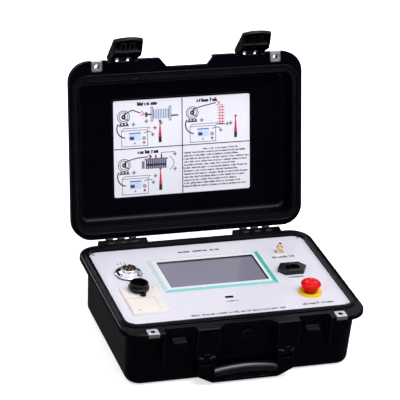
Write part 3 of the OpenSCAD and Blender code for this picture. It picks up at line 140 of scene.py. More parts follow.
class TesterFinishes(PropertyGroup):
    """Colours of the tester's finishes."""

    case: colour_prop("Case", "Moulded case, latches, handle and valve", (0.0006, 0.0004, 0.0022))
    rubber: colour_prop("Rubber", "Lid seal, grip, dust cap, strap and platen roller", (0.0012, 0.0012, 0.0020))
    panel: colour_prop("Panel", "Instrument panel", srgb(229, 227, 238))
    ink: colour_prop("Print", "Dark printing on panel and label", (0.010, 0.010, 0.016))
    grey_ink: colour_prop("Grey print", "Grey printing on the label", srgb(112, 112, 124))
    blue_ink: colour_prop("Blue print", "Blue printing on the label", srgb(70, 110, 190))
    red_ink: colour_prop("Red print", "Red printing on the label", srgb(206, 16, 56))
    pale_ink: colour_prop("Pale print", "Pale blue printing on the label", srgb(200, 212, 244))
    violet_ink: colour_prop("Violet print", "Dark violet printing on the label", srgb(66, 54, 88))
    bezel: colour_prop("Bezel", "Flat border of the touch screen", srgb(232, 238, 242))
    trim: colour_prop("Trim", "Right slope of the bezel", srgb(82, 186, 180))
    # The front, rear and left slopes are the right slope's teal paled as a painted highlight
    trim_front_highlight: colour_prop("Front trim", "Front slope of the bezel", srgb(128, 204, 202))
    trim_highlight: colour_prop("Pale trim", "Rear and left slopes of the bezel", srgb(214, 232, 236))
    glass: colour_prop("Screen", "Sleeping screen under its glass", srgb(132, 129, 147))
    stop_red: colour_prop("Stop head", "Head of the emergency stop", srgb(238, 4, 16))
    stop_yellow: colour_prop("Stop ring", "Ring of the emergency stop", srgb(255, 214, 36))
    printer: colour_prop("Printer", "Printer frame and door", srgb(244, 236, 232))
    steel: colour_prop("Steel", "Padlock plates and pins", (0.88, 0.86, 0.88))
    chrome: colour_prop("Chrome", "Round connector and panel screws", (0.80, 0.80, 0.83))
    brass: colour_prop("Brass", "Earth terminal and chassis spacers", (0.93, 0.76, 0.52))
    insert: colour_prop("Insert", "Connector insert", (0.010, 0.005, 0.004))
    label: colour_prop("Label", "Instruction label", srgb(244, 243, 254))


class TesterSizes(PropertyGroup):
    """Sizes of what is added to the frame."""

    ink_t: length_prop("Print thickness", "Height of the printed marks", 0.12)
    letter_h: length_prop("Print height", "Height of the panel's printed marks", 4.6)
    edge_r: length_prop("Edge radius", "Softening of the moulded edges", 0.9)
    label_w: length_prop("Label width", "Width of the instruction label", 243.0)
    label_d: length_prop("Label height", "Height of the instruction label", 165.5)


class TesterStage(PropertyGroup):
    """Studio settings."""

    key: number_prop("Key light", "Power of the key light", 31.0, unit="POWER")
    fill: number_prop("Fill light", "Power of the fill light", 7.0, unit="POWER")
    sky: number_prop("Ambient", "Level of the surrounding light", 0.32)
    low: number_prop("Mirrored low", "Level that glossy surfaces see level ahead", 0.015)
    high: number_prop("Mirrored high", "Level that glossy surfaces see overhead", 1.3)
    ground: number_prop("Mirrored floor", "Level of the floor in glossy surfaces", 0.09)
    lens: number_prop("Lens", "Focal length in mm", 187.08, least=1.0)


# Meshes


def finished(name, bm, body, *keys, slot=None):
    """Makes an object of a bmesh, gives it the named finishes and lets it ride on a body."""
    mesh = bpy.data.meshes.new(name)
    bm.to_mesh(mesh)
    bm.free()
    piece = bpy.data.objects.new(name, mesh)
    bpy.context.scene.collection.objects.link(piece)
    for key in keys:
        mesh.materials.append(finishes()[key])
    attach(piece, body)
    return piece


def middle(box):
    """Centre of a box in the plane, and its top, in millimetres."""
    lo, hi = box
    return (lo[0] + hi[0]) / 2 / MM, (lo[1] + hi[1]) / 2 / MM, hi[2] / MM


def smooth(piece, angle=35):
    """Smooth shading with sharp edges kept."""
    piece.data.polygons.foreach_set("use_smooth", [True] * len(piece.data.polygons))
    piece.data.set_sharp_from_angle(angle=math.radians(angle))


def block(bm, lo, hi, turn=None):
    """Adds a box between two corners in millimetres, optionally turned by a matrix."""
    lo, hi = Vector(lo) * MM, Vector(hi) * MM
    place = Matrix.Translation((lo + hi) / 2) @ Matrix.Diagonal((*(hi - lo), 1))
    bmesh.ops.create_cube(bm, size=1, matrix=(turn @ place) if turn else place)


def rounded(bm, offset, segments):
    """Rounds every edge of a bmesh by an offset in millimetres."""
    bmesh.ops.bevel(
        bm, geom=bm.edges[:], offset=offset * MM, segments=segments, profile=0.5, affect="EDGES", material=-1
    )


def lathe(bm, profile, centre, steps):
    """Spins a profile of (radius, height) in millimetres about the Z axis through centre."""
    verts = [bm.verts.new(Vector((centre[0] + r, centre[1], centre[2] + z)) * MM) for r, z in profile]
    edges = [bm.edges.new(pair) for pair in zip(verts, verts[1:])]
    bmesh.ops.spin(
        bm,
        geom=verts + edges,
        cent=Vector(centre) * MM,
        axis=(0, 0, 1),
        angle=math.tau,
        steps=steps,
        use_merge=True,
    )
    bmesh.ops.remove_doubles(bm, verts=bm.verts[:], dist=1e-6)
    bmesh.ops.recalc_face_normals(bm, faces=bm.faces[:])
    # A spin's order varies from run to run, so it is set along a line on which no two places coincide
    bm.verts.sort(key=lambda vert: vert.co.dot(SORT_LINE))
    bm.edges.sort(key=lambda edge: (edge.verts[0].co + edge.verts[1].co).dot(SORT_LINE))
    bm.faces.sort(key=lambda face: face.calc_center_median().dot(SORT_LINE))


def stroke(bm, points, width, thick, turn):
    """Adds a printed line through points of (x, y), as flat bars, in millimetres, rising from z = 0."""
    overlap = width * 0.6
    for (xa, ya), (xb, yb) in zip(points, points[1:]):
        span = math.hypot(xb - xa, yb - ya)
        place = (
            Matrix.Translation(Vector(((xa + xb) / 2, (ya + yb) / 2, thick / 2)) * MM)
            @ Matrix.Rotation(math.atan2(yb - ya, xb - xa), 4, "Z")
            @ Matrix.Diagonal(((span + overlap) * MM, width * MM, thick * MM, 1))
        )
        bmesh.ops.create_cube(bm, size=1, matrix=turn @ place)


def arc(x, y, r, start=0, end=360, steps=20):
    """Points on a circle, for a stroke."""
    return [
        (x + r * math.cos(math.radians(start + (end - start) * k / steps)),
         y + r * math.sin(math.radians(start + (end - start) * k / steps)))
        for k in range(steps + 1)
    ]


def marks(bm, rng, x0, x1, y, height, thick, turn, bold):
    """Adds a row of upright and level bars that stand for a printed line."""
    pen, short = height * 0.23 * bold, height * 0.66
    advance, space = height * 0.64, height * 0.42
    x = x0
    while x < x1:
        word_end = min(x1, x + height * rng.uniform(2.2, 4.4))
        while x < word_end:
            tall = height * rng.choice((0.66, 0.66, 0.66, 1.0))
            block(bm, (x, y, 0), (x + pen, y + tall, thick), turn)
            if rng.random() < 0.75:
                rise = y + height * rng.choice((0.0, 0.26, 0.5))
                block(bm, (x, rise, 0), (x + height * 0.48, rise + pen * 0.9, thick), turn)
            if rng.random() < 0.55:
                second = x + height * 0.32
                block(bm, (second, y, 0), (second + pen, y + short, thick), turn)
            x += advance
        x += space


def lid_turn():
    """Matrix that carries the shut lid's coordinates to the open lid."""
    joint = next(j for j in frame["joints"] if j["name"] == "lid_hinge")
    pivot = Vector(joint["pos_m"])
    angle = math.radians(joint["range_deg"][0])
    return Matrix.Translation(pivot) @ Matrix.Rotation(angle, 4, "X") @ Matrix.Translation(-pivot)


# Finishes


def map_range(tree, value, source, target, interpolation="LINEAR"):
    """Adds a node that carries a value from one range to another."""
    node = tree.nodes.new("ShaderNodeMapRange")
    node.interpolation_type = interpolation
    for key, number in zip(("From Min", "From Max", "To Min", "To Max"), (*source, *target)):
        node.inputs[key].default_value = number
    tree.links.new(value, node.inputs["Value"])
    return node.outputs["Result"]


class Finish:
    """A node material with helpers that add grain, mottling and soft edges."""

    def __init__(self, name, colour, roughness, metallic=0.0, **sockets):
        self.mat = bpy.data.materials.new(name)
        self.mat.use_nodes = True
        self.tree = self.mat.node_tree
        self.nodes, self.links = self.tree.nodes, self.tree.links
        self.shader = self.nodes["Principled BSDF"]
        self.colour = colour
        self.shader.inputs["Base Color"].default_value = (*colour, 1)
        self.shader.inputs["Roughness"].default_value = roughness
        self.shader.inputs["Metallic"].default_value = metallic
        for socket, value in sockets.items():
            self.shader.inputs[socket.replace("_", " ")].default_value = value
        self.place = self.nodes.new("ShaderNodeTexCoord").outputs["Object"]

    def add(self, kind, **settings):
        node = self.nodes.new("ShaderNode" + kind)
        for key, value in settings.items():
            setattr(node, key, value)
        return node

    def noise(self, scale, detail, stretch=None):
        node = self.add("TexNoise")
        node.inputs["Scale"].default_value = scale
        node.inputs["Detail"].default_value = detail
        source = self.place
        if stretch:
            mapping = self.add("Mapping")
            mapping.inputs["Scale"].default_value = stretch
            self.links.new(source, mapping.inputs["Vector"])
            source = mapping.outputs["Vector"]
        self.links.new(source, node.inputs["Vector"])
        return node.outputs["Fac"]

    def patches(self, scale, detail, low, high, stretch=None):
        """Noise, sharpened about its middle, between two levels."""
        return map_range(self.tree, self.noise(scale, detail, stretch), (0.3, 0.7), (low, high))

    def uneven(self, low, high, scale, stretch=None):
        """Lets the gloss wander between two roughness values."""
        self.links.new(self.patches(scale, 4, low, high, stretch), self.shader.inputs["Roughness"])
        return self

    def mottle(self, other, scale, stretch=None):
        """Lets the colour wander towards another."""
        mix = self.add("Mix", data_type="RGBA")
        mix.inputs["A"].default_value = (*self.colour, 1)
        mix.inputs["B"].default_value = (*other, 1)
        self.links.new(self.patches(scale, 4, 0, 1, stretch), mix.inputs["Factor"])
        self.links.new(mix.outputs["Result"], self.shader.inputs["Base Color"])
        return self

    def grain(self, scale, depth, strength, edge=0.0, stretch=None):
        """Fine relief, over edges softened by a radius."""
        bump = self.add("Bump")
        bump.inputs["Strength"].default_value = strength
        bump.inputs["Distance"].default_value = depth
        self.links.new(self.noise(scale, 2, stretch), bump.inputs["Height"])
        if edge:
            self.links.new(self.soft_edge(edge), bump.inputs["Normal"])
        self.links.new(bump.outputs["Normal"], self.shader.inputs["Normal"])
        return self

    def soft_edge(self, radius):
        bevel = self.add("Bevel", samples=6)
        bevel.inputs["Radius"].default_value = radius
        return bevel.outputs["Normal"]

    def edge_highlight(self, pale, radius, amount=0.6):
        """Painted highlight: paler colour along the convex edges, in patches, over a mottled surface."""
        dot = self.add("VectorMath", operation="DOT_PRODUCT")
        self.links.new(self.soft_edge(radius), dot.inputs[0])
        self.links.new(self.add("NewGeometry").outputs["Normal"], dot.inputs[1])
        patch = self.add("Math", operation="MULTIPLY")
        self.links.new(map_range(self.tree, dot.outputs["Value"], (0.80, 0.99), (amount, 0)), patch.inputs[0])
        self.links.new(self.patches(45, 5, 0.25, 1.0), patch.inputs[1])
        mix = self.add("Mix", data_type="RGBA")
        mix.inputs["B"].default_value = (*pale, 1)
        base = self.shader.inputs["Base Color"]
        self.links.new(base.links[0].from_socket, mix.inputs["A"])
        self.links.new(patch.outputs["Value"], mix.inputs["Factor"])
        self.links.new(mix.outputs["Result"], base)
        return self


def finishes():
    """The finishes, made once and kept by name."""
    if finishes.made:
        return finishes.made
    tone, edge = bpy.context.scene.tester_finishes, bpy.context.scene.tester_sizes.edge_r
    made = finishes.made
    made["case"] = (
        Finish("moulded_black", tone.case, roughness=0.24, Specular_IOR_Level=0.1)
        .mottle((0.0012, 0.0010, 0.0034), scale=14)
        .uneven(0.20, 0.28, scale=35)
        .grain(scale=1400, depth=0.0002, strength=0.3, edge=edge)
        # Pale bluish edges: painted highlight along the moulded edges
        .edge_highlight((0.060, 0.057, 0.080), edge)
        .mat
    )
    made["latch"] = (
        Finish("latch_black", tone.case, roughness=0.26, Specular_IOR_Level=0.22)
        .mottle((0.002, 0.0017, 0.004), scale=40)
        .uneven(0.2, 0.3, scale=60)
        .grain(scale=1600, depth=0.0002, strength=0.3, edge=0.0007)
        .mat
    )
    made["rubber"] = (
        Finish("black_rubber", tone.rubber, roughness=0.36, Specular_IOR_Level=0.22)
        .mottle((0.003, 0.003, 0.004), scale=90)
        .uneven(0.30, 0.44, scale=120)
        .grain(scale=900, depth=0.0003, strength=0.4, edge=0.0006)
        .mat
    )
    made["grip"] = (
        Finish("grip_rubber", tone.rubber, roughness=0.24, Specular_IOR_Level=0.5)
        .mottle((0.006, 0.006, 0.008), scale=120)
        .uneven(0.18, 0.30, scale=80)
        .grain(scale=600, depth=0.0003, strength=0.3, edge=0.0004)
        .mat
    )
    made["panel"] = (
        Finish("panel_film", tone.panel, roughness=0.14, Specular_IOR_Level=0.3)
        .mottle(shade(tone.panel, 0.985), scale=260)
        .uneven(0.12, 0.18, scale=300)
        .grain(scale=2500, depth=0.00003, strength=0.12, edge=0.0005)
        .mat
    )
    for key in ("ink", "grey_ink", "blue_ink", "red_ink", "pale_ink", "violet_ink"):
        colour = getattr(tone, key)
        paler = tuple(min(1, c * 1.25 + 0.01) for c in colour)
        ink = Finish("print_" + key, colour, roughness=0.5, Specular_IOR_Level=0.3)
        made[key] = ink.mottle(paler, scale=400).mat
    for key in ("bezel", "trim", "trim_front_highlight", "trim_highlight"):
        colour = getattr(tone, key)
        made[key] = (
            Finish("screen_" + key, colour, roughness=0.32, Specular_IOR_Level=0.2)
            .mottle(shade(colour, 0.985), scale=160)
            .uneven(0.24, 0.34, scale=90)
            .grain(scale=3000, depth=0.00004, strength=0.15, edge=0.0004)
            .mat
        )
    made["dark"] = (
        Finish("dark_plastic", (0.002, 0.002, 0.003), roughness=0.24, Specular_IOR_Level=0.4)
        .mottle((0.004, 0.004, 0.005), scale=60)
        .uneven(0.2, 0.3, scale=70)
        .grain(scale=1800, depth=0.0001, strength=0.25, edge=0.0006)
        # Paler edges: painted highlight
        .edge_highlight((0.05, 0.05, 0.06), 0.0006)
        .mat
    )
    made["glass"] = (
        Finish("sleeping_screen", tone.glass, roughness=0.16, Specular_IOR_Level=0.25)
        .mottle(shade(tone.glass, 0.94), scale=5)
        .uneven(0.13, 0.18, scale=12)
        .mat
    )
    made["steel"] = (
        Finish("brushed_steel", tone.steel, roughness=0.34, metallic=1.0)
        .mottle((0.74, 0.72, 0.74), scale=300, stretch=(0.06, 1, 1))
        .uneven(0.26, 0.44, scale=500, stretch=(0.05, 1, 1))
        .grain(scale=900, depth=0.0001, strength=0.25, edge=0.0006, stretch=(0.05, 1, 1))
        .mat
    )
    made["pin"] = (
        Finish("turned_steel", tone.steel, roughness=0.2, metallic=1.0)
        .uneven(0.14, 0.28, scale=200, stretch=(1, 0.1, 0.1))
        .grain(scale=1200, depth=0.00005, strength=0.2)
        .mat
    )
    made["chrome"] = (
        Finish("satin_chrome", tone.chrome, roughness=0.14, metallic=1.0)
        .mottle((0.70, 0.70, 0.73), scale=80)
        .uneven(0.08, 0.2, scale=140)
        .grain(scale=900, depth=0.00004, strength=0.15, edge=0.0004)
        .mat
    )
    made["brass"] = (
        Finish("earth_brass", tone.brass, roughness=0.12, metallic=1.0)
        .mottle((0.80, 0.58, 0.34), scale=120)
        .uneven(0.07, 0.17, scale=150)
        .grain(scale=1500, depth=0.00006, strength=0.2, edge=0.0003)
        .mat
    )
    made["gold"] = (
        Finish("gold_contact", (0.98, 0.62, 0.24), roughness=0.3, metallic=0.7)
        .mottle((0.86, 0.46, 0.16), scale=400)
        .uneven(0.24, 0.36, scale=400)
        .mat
    )
    made["insert"] = (
        Finish("insert_brown", tone.insert, roughness=0.4, Specular_IOR_Level=0.08)
        .mottle((0.026, 0.010, 0.006), scale=300)
        .uneven(0.32, 0.48, scale=300)
        .grain(scale=2500, depth=0.0001, strength=0.2)
        .mat
    )
    gloss = {"Specular_IOR_Level": 0.03, "Coat_Weight": 0.12, "Coat_Roughness": 0.02}
    made["red"] = (
        Finish("stop_red", tone.stop_red, roughness=0.1, **gloss)
        .mottle(shade(tone.stop_red, 0.86), scale=40)
        .uneven(0.08, 0.13, scale=60)
        .grain(scale=700, depth=0.00005, strength=0.1, edge=0.0006)
        # Pale pink edges: painted glints on the scalloped head
        .edge_highlight((0.95, 0.42, 0.44), 0.0014, amount=0.75)
        .mat
    )
    pale_red = Finish("pale_red", srgb(255, 150, 152), roughness=0.3)
    made["pale_red"] = pale_red.mottle(srgb(255, 120, 126), scale=200).mat
    made["yellow"] = (
        Finish("stop_yellow", tone.stop_yellow, roughness=0.3, Specular_IOR_Level=0.1)
        .mottle(shade(tone.stop_yellow, 0.95), scale=50)
        .uneven(0.22, 0.34, scale=70)
        .grain(scale=1500, depth=0.00006, strength=0.15, edge=0.0005)
        .mat
    )
    made["printer"] = (
        Finish("printer_cream", tone.printer, roughness=0.42, Specular_IOR_Level=0.2)
        .mottle(shade(tone.printer, 0.955), scale=45)
        .uneven(0.36, 0.5, scale=90)
        .grain(scale=2200, depth=0.00008, strength=0.3, edge=0.0005)
        .mat
    )
    made["label"] = (
        Finish("label_film", tone.label, roughness=0.35, Specular_IOR_Level=0.4)
        .mottle(shade(tone.label, 0.97), scale=20)
        .uneven(0.3, 0.42, scale=40)
        .mat
    )
    made["paper"] = (
        Finish("thermal_paper", (0.88, 0.88, 0.85), roughness=0.75)
        .mottle((0.8, 0.8, 0.77), scale=200)
        .grain(scale=3000, depth=0.0001, strength=0.3)
        .mat
    )
    made["zinc"] = (
        Finish("zinc_plate", (0.6, 0.62, 0.64), roughness=0.4, metallic=1.0)
        .mottle((0.45, 0.47, 0.5), scale=60)
        .uneven(0.3, 0.5, scale=90)
        .grain(scale=600, depth=0.0001, strength=0.2)
        .mat
    )
    made["board"] = (
        Finish("board_green", (0.012, 0.13, 0.05), roughness=0.35)
        .mottle((0.02, 0.2, 0.08), scale=150)
        .grain(scale=500, depth=0.0001, strength=0.3)
        .mat
    )
    made["winding"] = (
        Finish("enamelled_winding", (0.42, 0.22, 0.05), roughness=0.35, metallic=0.4)
        .mottle((0.25, 0.11, 0.02), scale=250, stretch=(1, 1, 0.1))
        .grain(scale=700, depth=0.0004, strength=0.6, stretch=(1, 1, 0.1))
        .mat
    )
    made["sleeve"] = (
        Finish("capacitor_sleeve", (0.03, 0.05, 0.2), roughness=0.3)
        .mottle((0.05, 0.08, 0.26), scale=90)
        .uneven(0.25, 0.38, scale=60)
        .mat
    )
    return made


finishes.made = {}

NODE_FINISH = {
    "case": ("base_tub", "lid_shell", "handle_frame", "valve_body", "valve_knob"),
    "latch": ("left_latch", "right_latch"),
    "rubber": ("lid_gasket", "dust_cap", "cap_tether", "platen_roller"),
    "grip": ("handle_grip",),
    "panel": ("panel_plate",),
    "steel": ("base_padlock_plates", "lid_padlock_plates"),
    "pin": ("hinge_pins", "handle_pins", "latch_pins", "connector_nut", "earth_washer", "earth_lock_nut",
            "inlet_blades", "stop_stem", "transformer_bolt"),
    "glass": ("hmi_screen",),
    "dark": ("hmi_housing", "print_head", "inlet_housing", "stop_bush", "usb_socket"),
    "zinc": ("hmi_clamps", "chassis_plate", "transformer_washer", "power_supply", "drive_heatsink"),
    "chrome": ("connector_shell", "panel_screws"),
    "insert": ("connector_insert",),
    "gold": ("connector_pins",),
    "printer": ("printer_frame", "printer_housing", "printer_door"),
    "paper": ("paper_roll",),
    "brass": ("earth_stud", "earth_thumb_nut", "chassis_spacers"),
    "yellow": ("stop_ring",),
    "red": ("stop_head",),
    "board": ("drive_board", "control_board", "stop_contact_block"),
    "winding": ("transformer_coil",),
    "sleeve": ("storage_capacitors",),
    "label": ("instruction_label",),
}


def paint(*keys):
    """Gives the named finishes to the frame's own nodes."""
    for key in keys:
        for node in NODE_FINISH[key]:
            mesh = frame["nodes"][node].data
            mesh.materials.clear()
            mesh.materials.append(finishes()[key])


# Operators


class TESTER_OT_stage(Operator):
    """Camera, lamps, world and floor"""

    bl_idname = "tester.stage"
    bl_label = "Stage"

    def execute(self, context):
        stage = context.scene.tester_stage
        context.scene.view_settings.view_transform = "Standard"
        self.camera(context, stage)
        self.world(context, stage)
        self.floor(stage)
        for name, place, size, power in (
            ("key_lamp", (0.4, -0.7, 2.0), (1.5, 1.1), stage.key),
            ("left_lamp", (-1.7, -0.9, 1.2), (1.0, 1.0), stage.fill),
            ("right_lamp", (1.7, -0.8, 1.2), (1.0, 1.0), stage.fill),
            ("rear_lamp", (-0.3, 1.6, 1.0), (1.4, 0.7), REAR_SHARE * stage.fill),
        ):
            self.lamp(context, name, place, size, power)
        return {"FINISHED"}

    def camera(self, context, stage):
        yaw, pitch, roll = (math.radians(a) for a in (YAW, PITCH, ROLL))
        ahead = Vector((math.sin(yaw) * math.cos(pitch), math.cos(yaw) * math.cos(pitch), math.sin(pitch)))
        right = Vector((math.cos(yaw), -math.sin(yaw), 0))
        up = right.cross(ahead)
        side = math.cos(roll) * right + math.sin(roll) * up
        top = -math.sin(roll) * right + math.cos(roll) * up
        data = bpy.data.cameras.new("camera")
        data.lens = stage.lens
        data.sensor_width = SENSOR_W
        data.clip_end = VIEW_DEPTH
        camera = bpy.data.objects.new("camera", data)
        place = Matrix((side, top, -ahead)).transposed().to_4x4()
        place.translation = Vector(CAMERA_PLACE) * MM
        camera.matrix_world = place
        context.scene.collection.objects.link(camera)
        context.scene.camera = camera

    def lamp(self, context, name, place, size, power):
        data = bpy.data.lights.new(name, "AREA")
        data.shape = "RECTANGLE"
        data.size, data.size_y = size
        data.energy = power
        lamp = bpy.data.objects.new(name, data)
        lamp.location = place
        lamp.rotation_euler = (Vector(LIT_CENTRE) - Vector(place)).to_track_quat("-Z", "Y").to_euler()
        context.scene.collection.objects.link(lamp)

    def world(self, context, stage):
        """Even light, white behind the object, and for mirrors a room that brightens upwards."""
        world = bpy.data.worlds.new("studio")
        world.use_nodes = True
        nodes, links = world.node_tree.nodes, world.node_tree.links
        nodes.clear()
        path = nodes.new("ShaderNodeLightPath")
        split = nodes.new("ShaderNodeSeparateXYZ")
        links.new(nodes.new("ShaderNodeNewGeometry").outputs["Incoming"], split.inputs[0])
        levels = (stage.low, stage.high)
        room = map_range(world.node_tree, split.outputs["Z"], SKY_SPAN, levels, "SMOOTHSTEP")
        shade_out = None
        for ray, colour, strength in (
            (None, (0.96, 0.97, 1.0, 1), stage.sky),
            ("Is Glossy Ray", (0.88, 0.90, 1.0, 1), 1.0),
            ("Is Transmission Ray", (1, 1, 1, 1), 1.0),
            ("Is Camera Ray", (1, 1, 1, 1), 1.0),
        ):
            level = nodes.new("ShaderNodeBackground")
            level.inputs["Color"].default_value = colour
            level.inputs["Strength"].default_value = strength
            if ray == "Is Glossy Ray":
                links.new(room, level.inputs["Strength"])
            if ray:
                mix = nodes.new("ShaderNodeMixShader")
                links.new(path.outputs[ray], mix.inputs[0])
                links.new(shade_out, mix.inputs[1])
                links.new(level.outputs[0], mix.inputs[2])
            shade_out = mix.outputs[0] if ray else level.outputs[0]
        out = nodes.new("ShaderNodeOutputWorld")
        links.new(shade_out, out.inputs["Surface"])
        context.scene.world = world

    def floor(self, stage):
        """Pale floor: it keeps the shadow near the object and fades to white away from it."""
        bm = bmesh.new()
        bmesh.ops.create_grid(bm, x_segments=2, y_segments=2, size=FLOOR_HALF)
        mesh = bpy.data.meshes.new("floor")
        bm.to_mesh(mesh)
        bm.free()
        floor = bpy.data.objects.new("floor", mesh)
        bpy.context.scene.collection.objects.link(floor)
        pale = Finish("pale_floor", (0.93, 0.93, 0.94), roughness=0.6, Specular_IOR_Level=0.1)
        links = pale.links
        path = pale.add("LightPath")
        reach = pale.add("VectorMath", operation="LENGTH")
        links.new(pale.place, reach.inputs[0])
        fade = map_range(pale.tree, reach.outputs["Value"], FADE_SPAN, FADE_LEVELS, "SMOOTHSTEP")
        lift = pale.add("Math", operation="MULTIPLY")
        links.new(fade, lift.inputs[0])
        links.new(path.outputs["Is Camera Ray"], lift.inputs[1])
        glow = pale.add("Emission")
        links.new(lift.outputs[0], glow.inputs["Strength"])
        both = pale.add("AddShader")
        links.new(pale.shader.outputs[0], both.inputs[0])
        links.new(glow.outputs[0], both.inputs[1])
        dim = pale.add("Emission")
        dim.inputs["Strength"].default_value = stage.ground
        pick = pale.add("MixShader")
        links.new(path.outputs["Is Glossy Ray"], pick.inputs[0])
        links.new(both.outputs[0], pick.inputs[1])
        links.new(dim.outputs[0], pick.inputs[2])
        links.new(pick.outputs[0], pale.nodes["Material Output"].inputs["Surface"])
        mesh.materials.append(pale.mat)


class TESTER_OT_case(Operator):
    """Moulded case, latches, handle, seal, plates and pins"""

    bl_idname = "tester.case"
    bl_label = "Case"

    def execute(self, context):
        paint("case", "latch", "rubber", "grip", "steel", "pin")
        return {"FINISHED"}


class TESTER_OT_panel(Operator):
    """Panel plate and its printing"""

    bl_idname = "tester.panel"
    bl_label = "Panel"

    def execute(self, context):
        paint("panel")
        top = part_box("panel_plate")[1][2] / MM
        lay = Matrix.Translation((0, 0, (top - 0.02) * MM))
        thick = context.scene.tester_sizes.ink_t / MM
        tall = context.scene.tester_sizes.letter_h / MM
        rng = random.Random(PANEL_SEED)
        bm = bmesh.new()
        for x0, x1, y, height, bold in PANEL_ROWS.values():
            marks(bm, rng, x0, x1, y, height * tall, thick, lay, bold)
        for x in CONTACT_MARKS_X:
            stroke(bm, [(x, 84), (x, 88.5)], 1.2, thick, lay)
            stroke(bm, [(x - 0.3, 91), (x + 0.3, 91)], 1.4, thick, lay)
        finished("panel_printing", bm, "base", "ink")
        return {"FINISHED"}


class TESTER_OT_screen(Operator):
    """Touch screen: bezel with painted highlights on its slopes, dark strips of painted recess shade, and dark
    glass
    """

    bl_idname = "tester.screen"
    bl_label = "Touch screen"

    def execute(self, context):
        paint("glass")
        lo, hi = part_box("hmi_bezel")
        glass_lo, glass_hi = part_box("hmi_screen")
        glass_hi = (glass_hi[0], glass_hi[1] - BEZEL_LIP * MM, glass_hi[2])
        centre = [(a + b) / 2 for a, b in zip(lo, hi)]
        rise = hi[2] - lo[2]
        size = (hi[0] - lo[0], hi[1] - lo[1], rise, 1)
        bm = bmesh.new()
        bmesh.ops.create_cube(bm, size=1, matrix=Matrix.Translation(centre) @ Matrix.Diagonal(size))
        top = max(bm.faces, key=lambda f: f.calc_center_median().z)
        for vert, axis in ((vert, axis) for vert in top.verts for axis in (0, 1)):
            near, far = BEZEL_SLOPES[axis]
            vert.co[axis] += (-far if vert.co[axis] > centre[axis] else near) * MM
        # The inset's corners then move to the edges of the glass
        bmesh.ops.inset_region(bm, faces=[top], thickness=4 * MM, use_even_offset=True)
        for vert, axis in ((vert, axis) for vert in top.verts for axis in (0, 1)):
            far = vert.co[axis] > centre[axis]
            vert.co[axis] = glass_hi[axis] + BEZEL_FIT * MM if far else glass_lo[axis] - BEZEL_FIT * MM
        rim = list(top.verts)
        sunk = [bm.verts.new(vert.co - Vector((0, 0, rise * 0.96))) for vert in rim]
        bm.faces.remove(top)
        bm.faces.new(sunk)
        for (a, b), (c, d) in zip(zip(rim, rim[1:] + rim[:1]), zip(sunk, sunk[1:] + sunk[:1])):
            bm.faces.new((a, b, d, c))
        bmesh.ops.recalc_face_normals(bm, faces=bm.faces[:])
        coats = ("bezel", "trim", "trim_front_highlight", "trim_highlight", "dark")
        for face in bm.faces:
            face.material_index = coats.index(self.coat(face, centre[2]))
        bezel = finished("screen_bezel", bm, "base", *coats, slot="bezel_teal")
        edge = bezel.modifiers.new("soft_edges", "BEVEL")
        edge.width, edge.segments, edge.limit_method = 0.3 * MM, 2, "ANGLE"
        edge.angle_limit = math.radians(15)
        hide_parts("hmi_bezel")
        # Dark strips round the glass: painted shade of the recess
        self.gasket(glass_lo, glass_hi, hi[2] / MM)
        return {"FINISHED"}

    def coat(self, face, mid_height):
        """Finish of a face of the bezel: its flat top, its walls in dark plastic as painted shade of the
        window's recess, or one of its slopes, whose front, rear and left slopes are paled as a painted
        highlight.
        """
        n = face.normal
        if n.z > 0.99 and face.calc_center_median().z > mid_height:
            return "bezel"
        if abs(n.z) < 0.05 or n.z > 0.99:
            return "dark"
        return "trim" if n.x > 0.1 else "trim_front_highlight" if n.y < -0.1 else "trim_highlight"

    def gasket(self, lo, hi, top):
        """Dark strips round the glass, painted shade of the recess wall, widest at the rear."""
        (x0, y0), (x1, y1) = ((v[0] / MM, v[1] / MM) for v in (lo, hi))
        low = hi[2] / MM - 0.3
        high = max(low + 0.35, top - 0.1)
        side_end = y1 - RECESS_SHADE_REAR - RECESS_SHADE_JOINT
        bm = bmesh.new()
        for a, b in (
            ((x0, y1 - RECESS_SHADE_REAR), (x1, y1)),
            ((x1 - RECESS_SHADE_RIGHT, y0), (x1, side_end)),
            ((x0, y0), (x0 + RECESS_SHADE_LEFT, side_end)),
        ):
            block(bm, (*a, low), (*b, high))
        finished("screen_recess_shade", bm, "base", "dark", slot="dark_plastic")


class TESTER_OT_connector(Operator):
    """Round connector, its contacts, groove ring and key"""

    bl_idname = "tester.connector"
    bl_label = "Connector"

    def execute(self, context):
        paint("chrome", "insert", "gold")
        x, y, z = middle(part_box("connector_shell"))
        inner, outer, low, high, slant = 13.05, 13.35, -4.2, -2.8, 0.2
        profile = [(inner, low), (outer, low + slant), (outer, high - slant), (inner, high), (inner, low)]
        bm = bmesh.new()
        lathe(bm, profile, (x, y, z), 96)
        smooth(finished("barrel_groove_ring", bm, "base", "chrome", slot="connector_chrome"))
        half_w, near, far = 1.4, 9.6, 12.1
        bm = bmesh.new()
        block(bm, (x - half_w, y + near, z - 4.6), (x + half_w, y + far, z - 0.8))
        rounded(bm, 0.4, 2)
        finished("connector_key", bm, "base", "chrome", slot="connector_chrome")
        return {"FINISHED"}


class TESTER_OT_printer(Operator):
    """Thermal printer, its ready lamp and the mark on its door"""

    bl_idname = "tester.printer"
    bl_label = "Printer"

    def execute(self, context):
        paint("printer", "paper")
        right, rear, top = (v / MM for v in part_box("printer_frame")[1])
        from_corner, dome, depth = 6.5, [(0, 0.12), (0.9, 0.08), (1.15, -0.1)], -1.4
        bm = bmesh.new()
        lathe(bm, [*dome, (1.15, depth), (0, depth)], (right - from_corner, rear - from_corner, top), 24)
        smooth(finished("printer_lamp", bm, "base", "dark", slot="dark_plastic"))
        x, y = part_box("printer_door")[0][0] / MM + 11, -72.5
        bm = bmesh.new()
        block(bm, (x, y, top - 0.05), (x + 3.2, y + 2.2, top + 0.12))
        rounded(bm, 0.05, 1)
        finished("door_mark", bm, "printer_door", "ink", slot="dark_plastic")
        return {"FINISHED"}


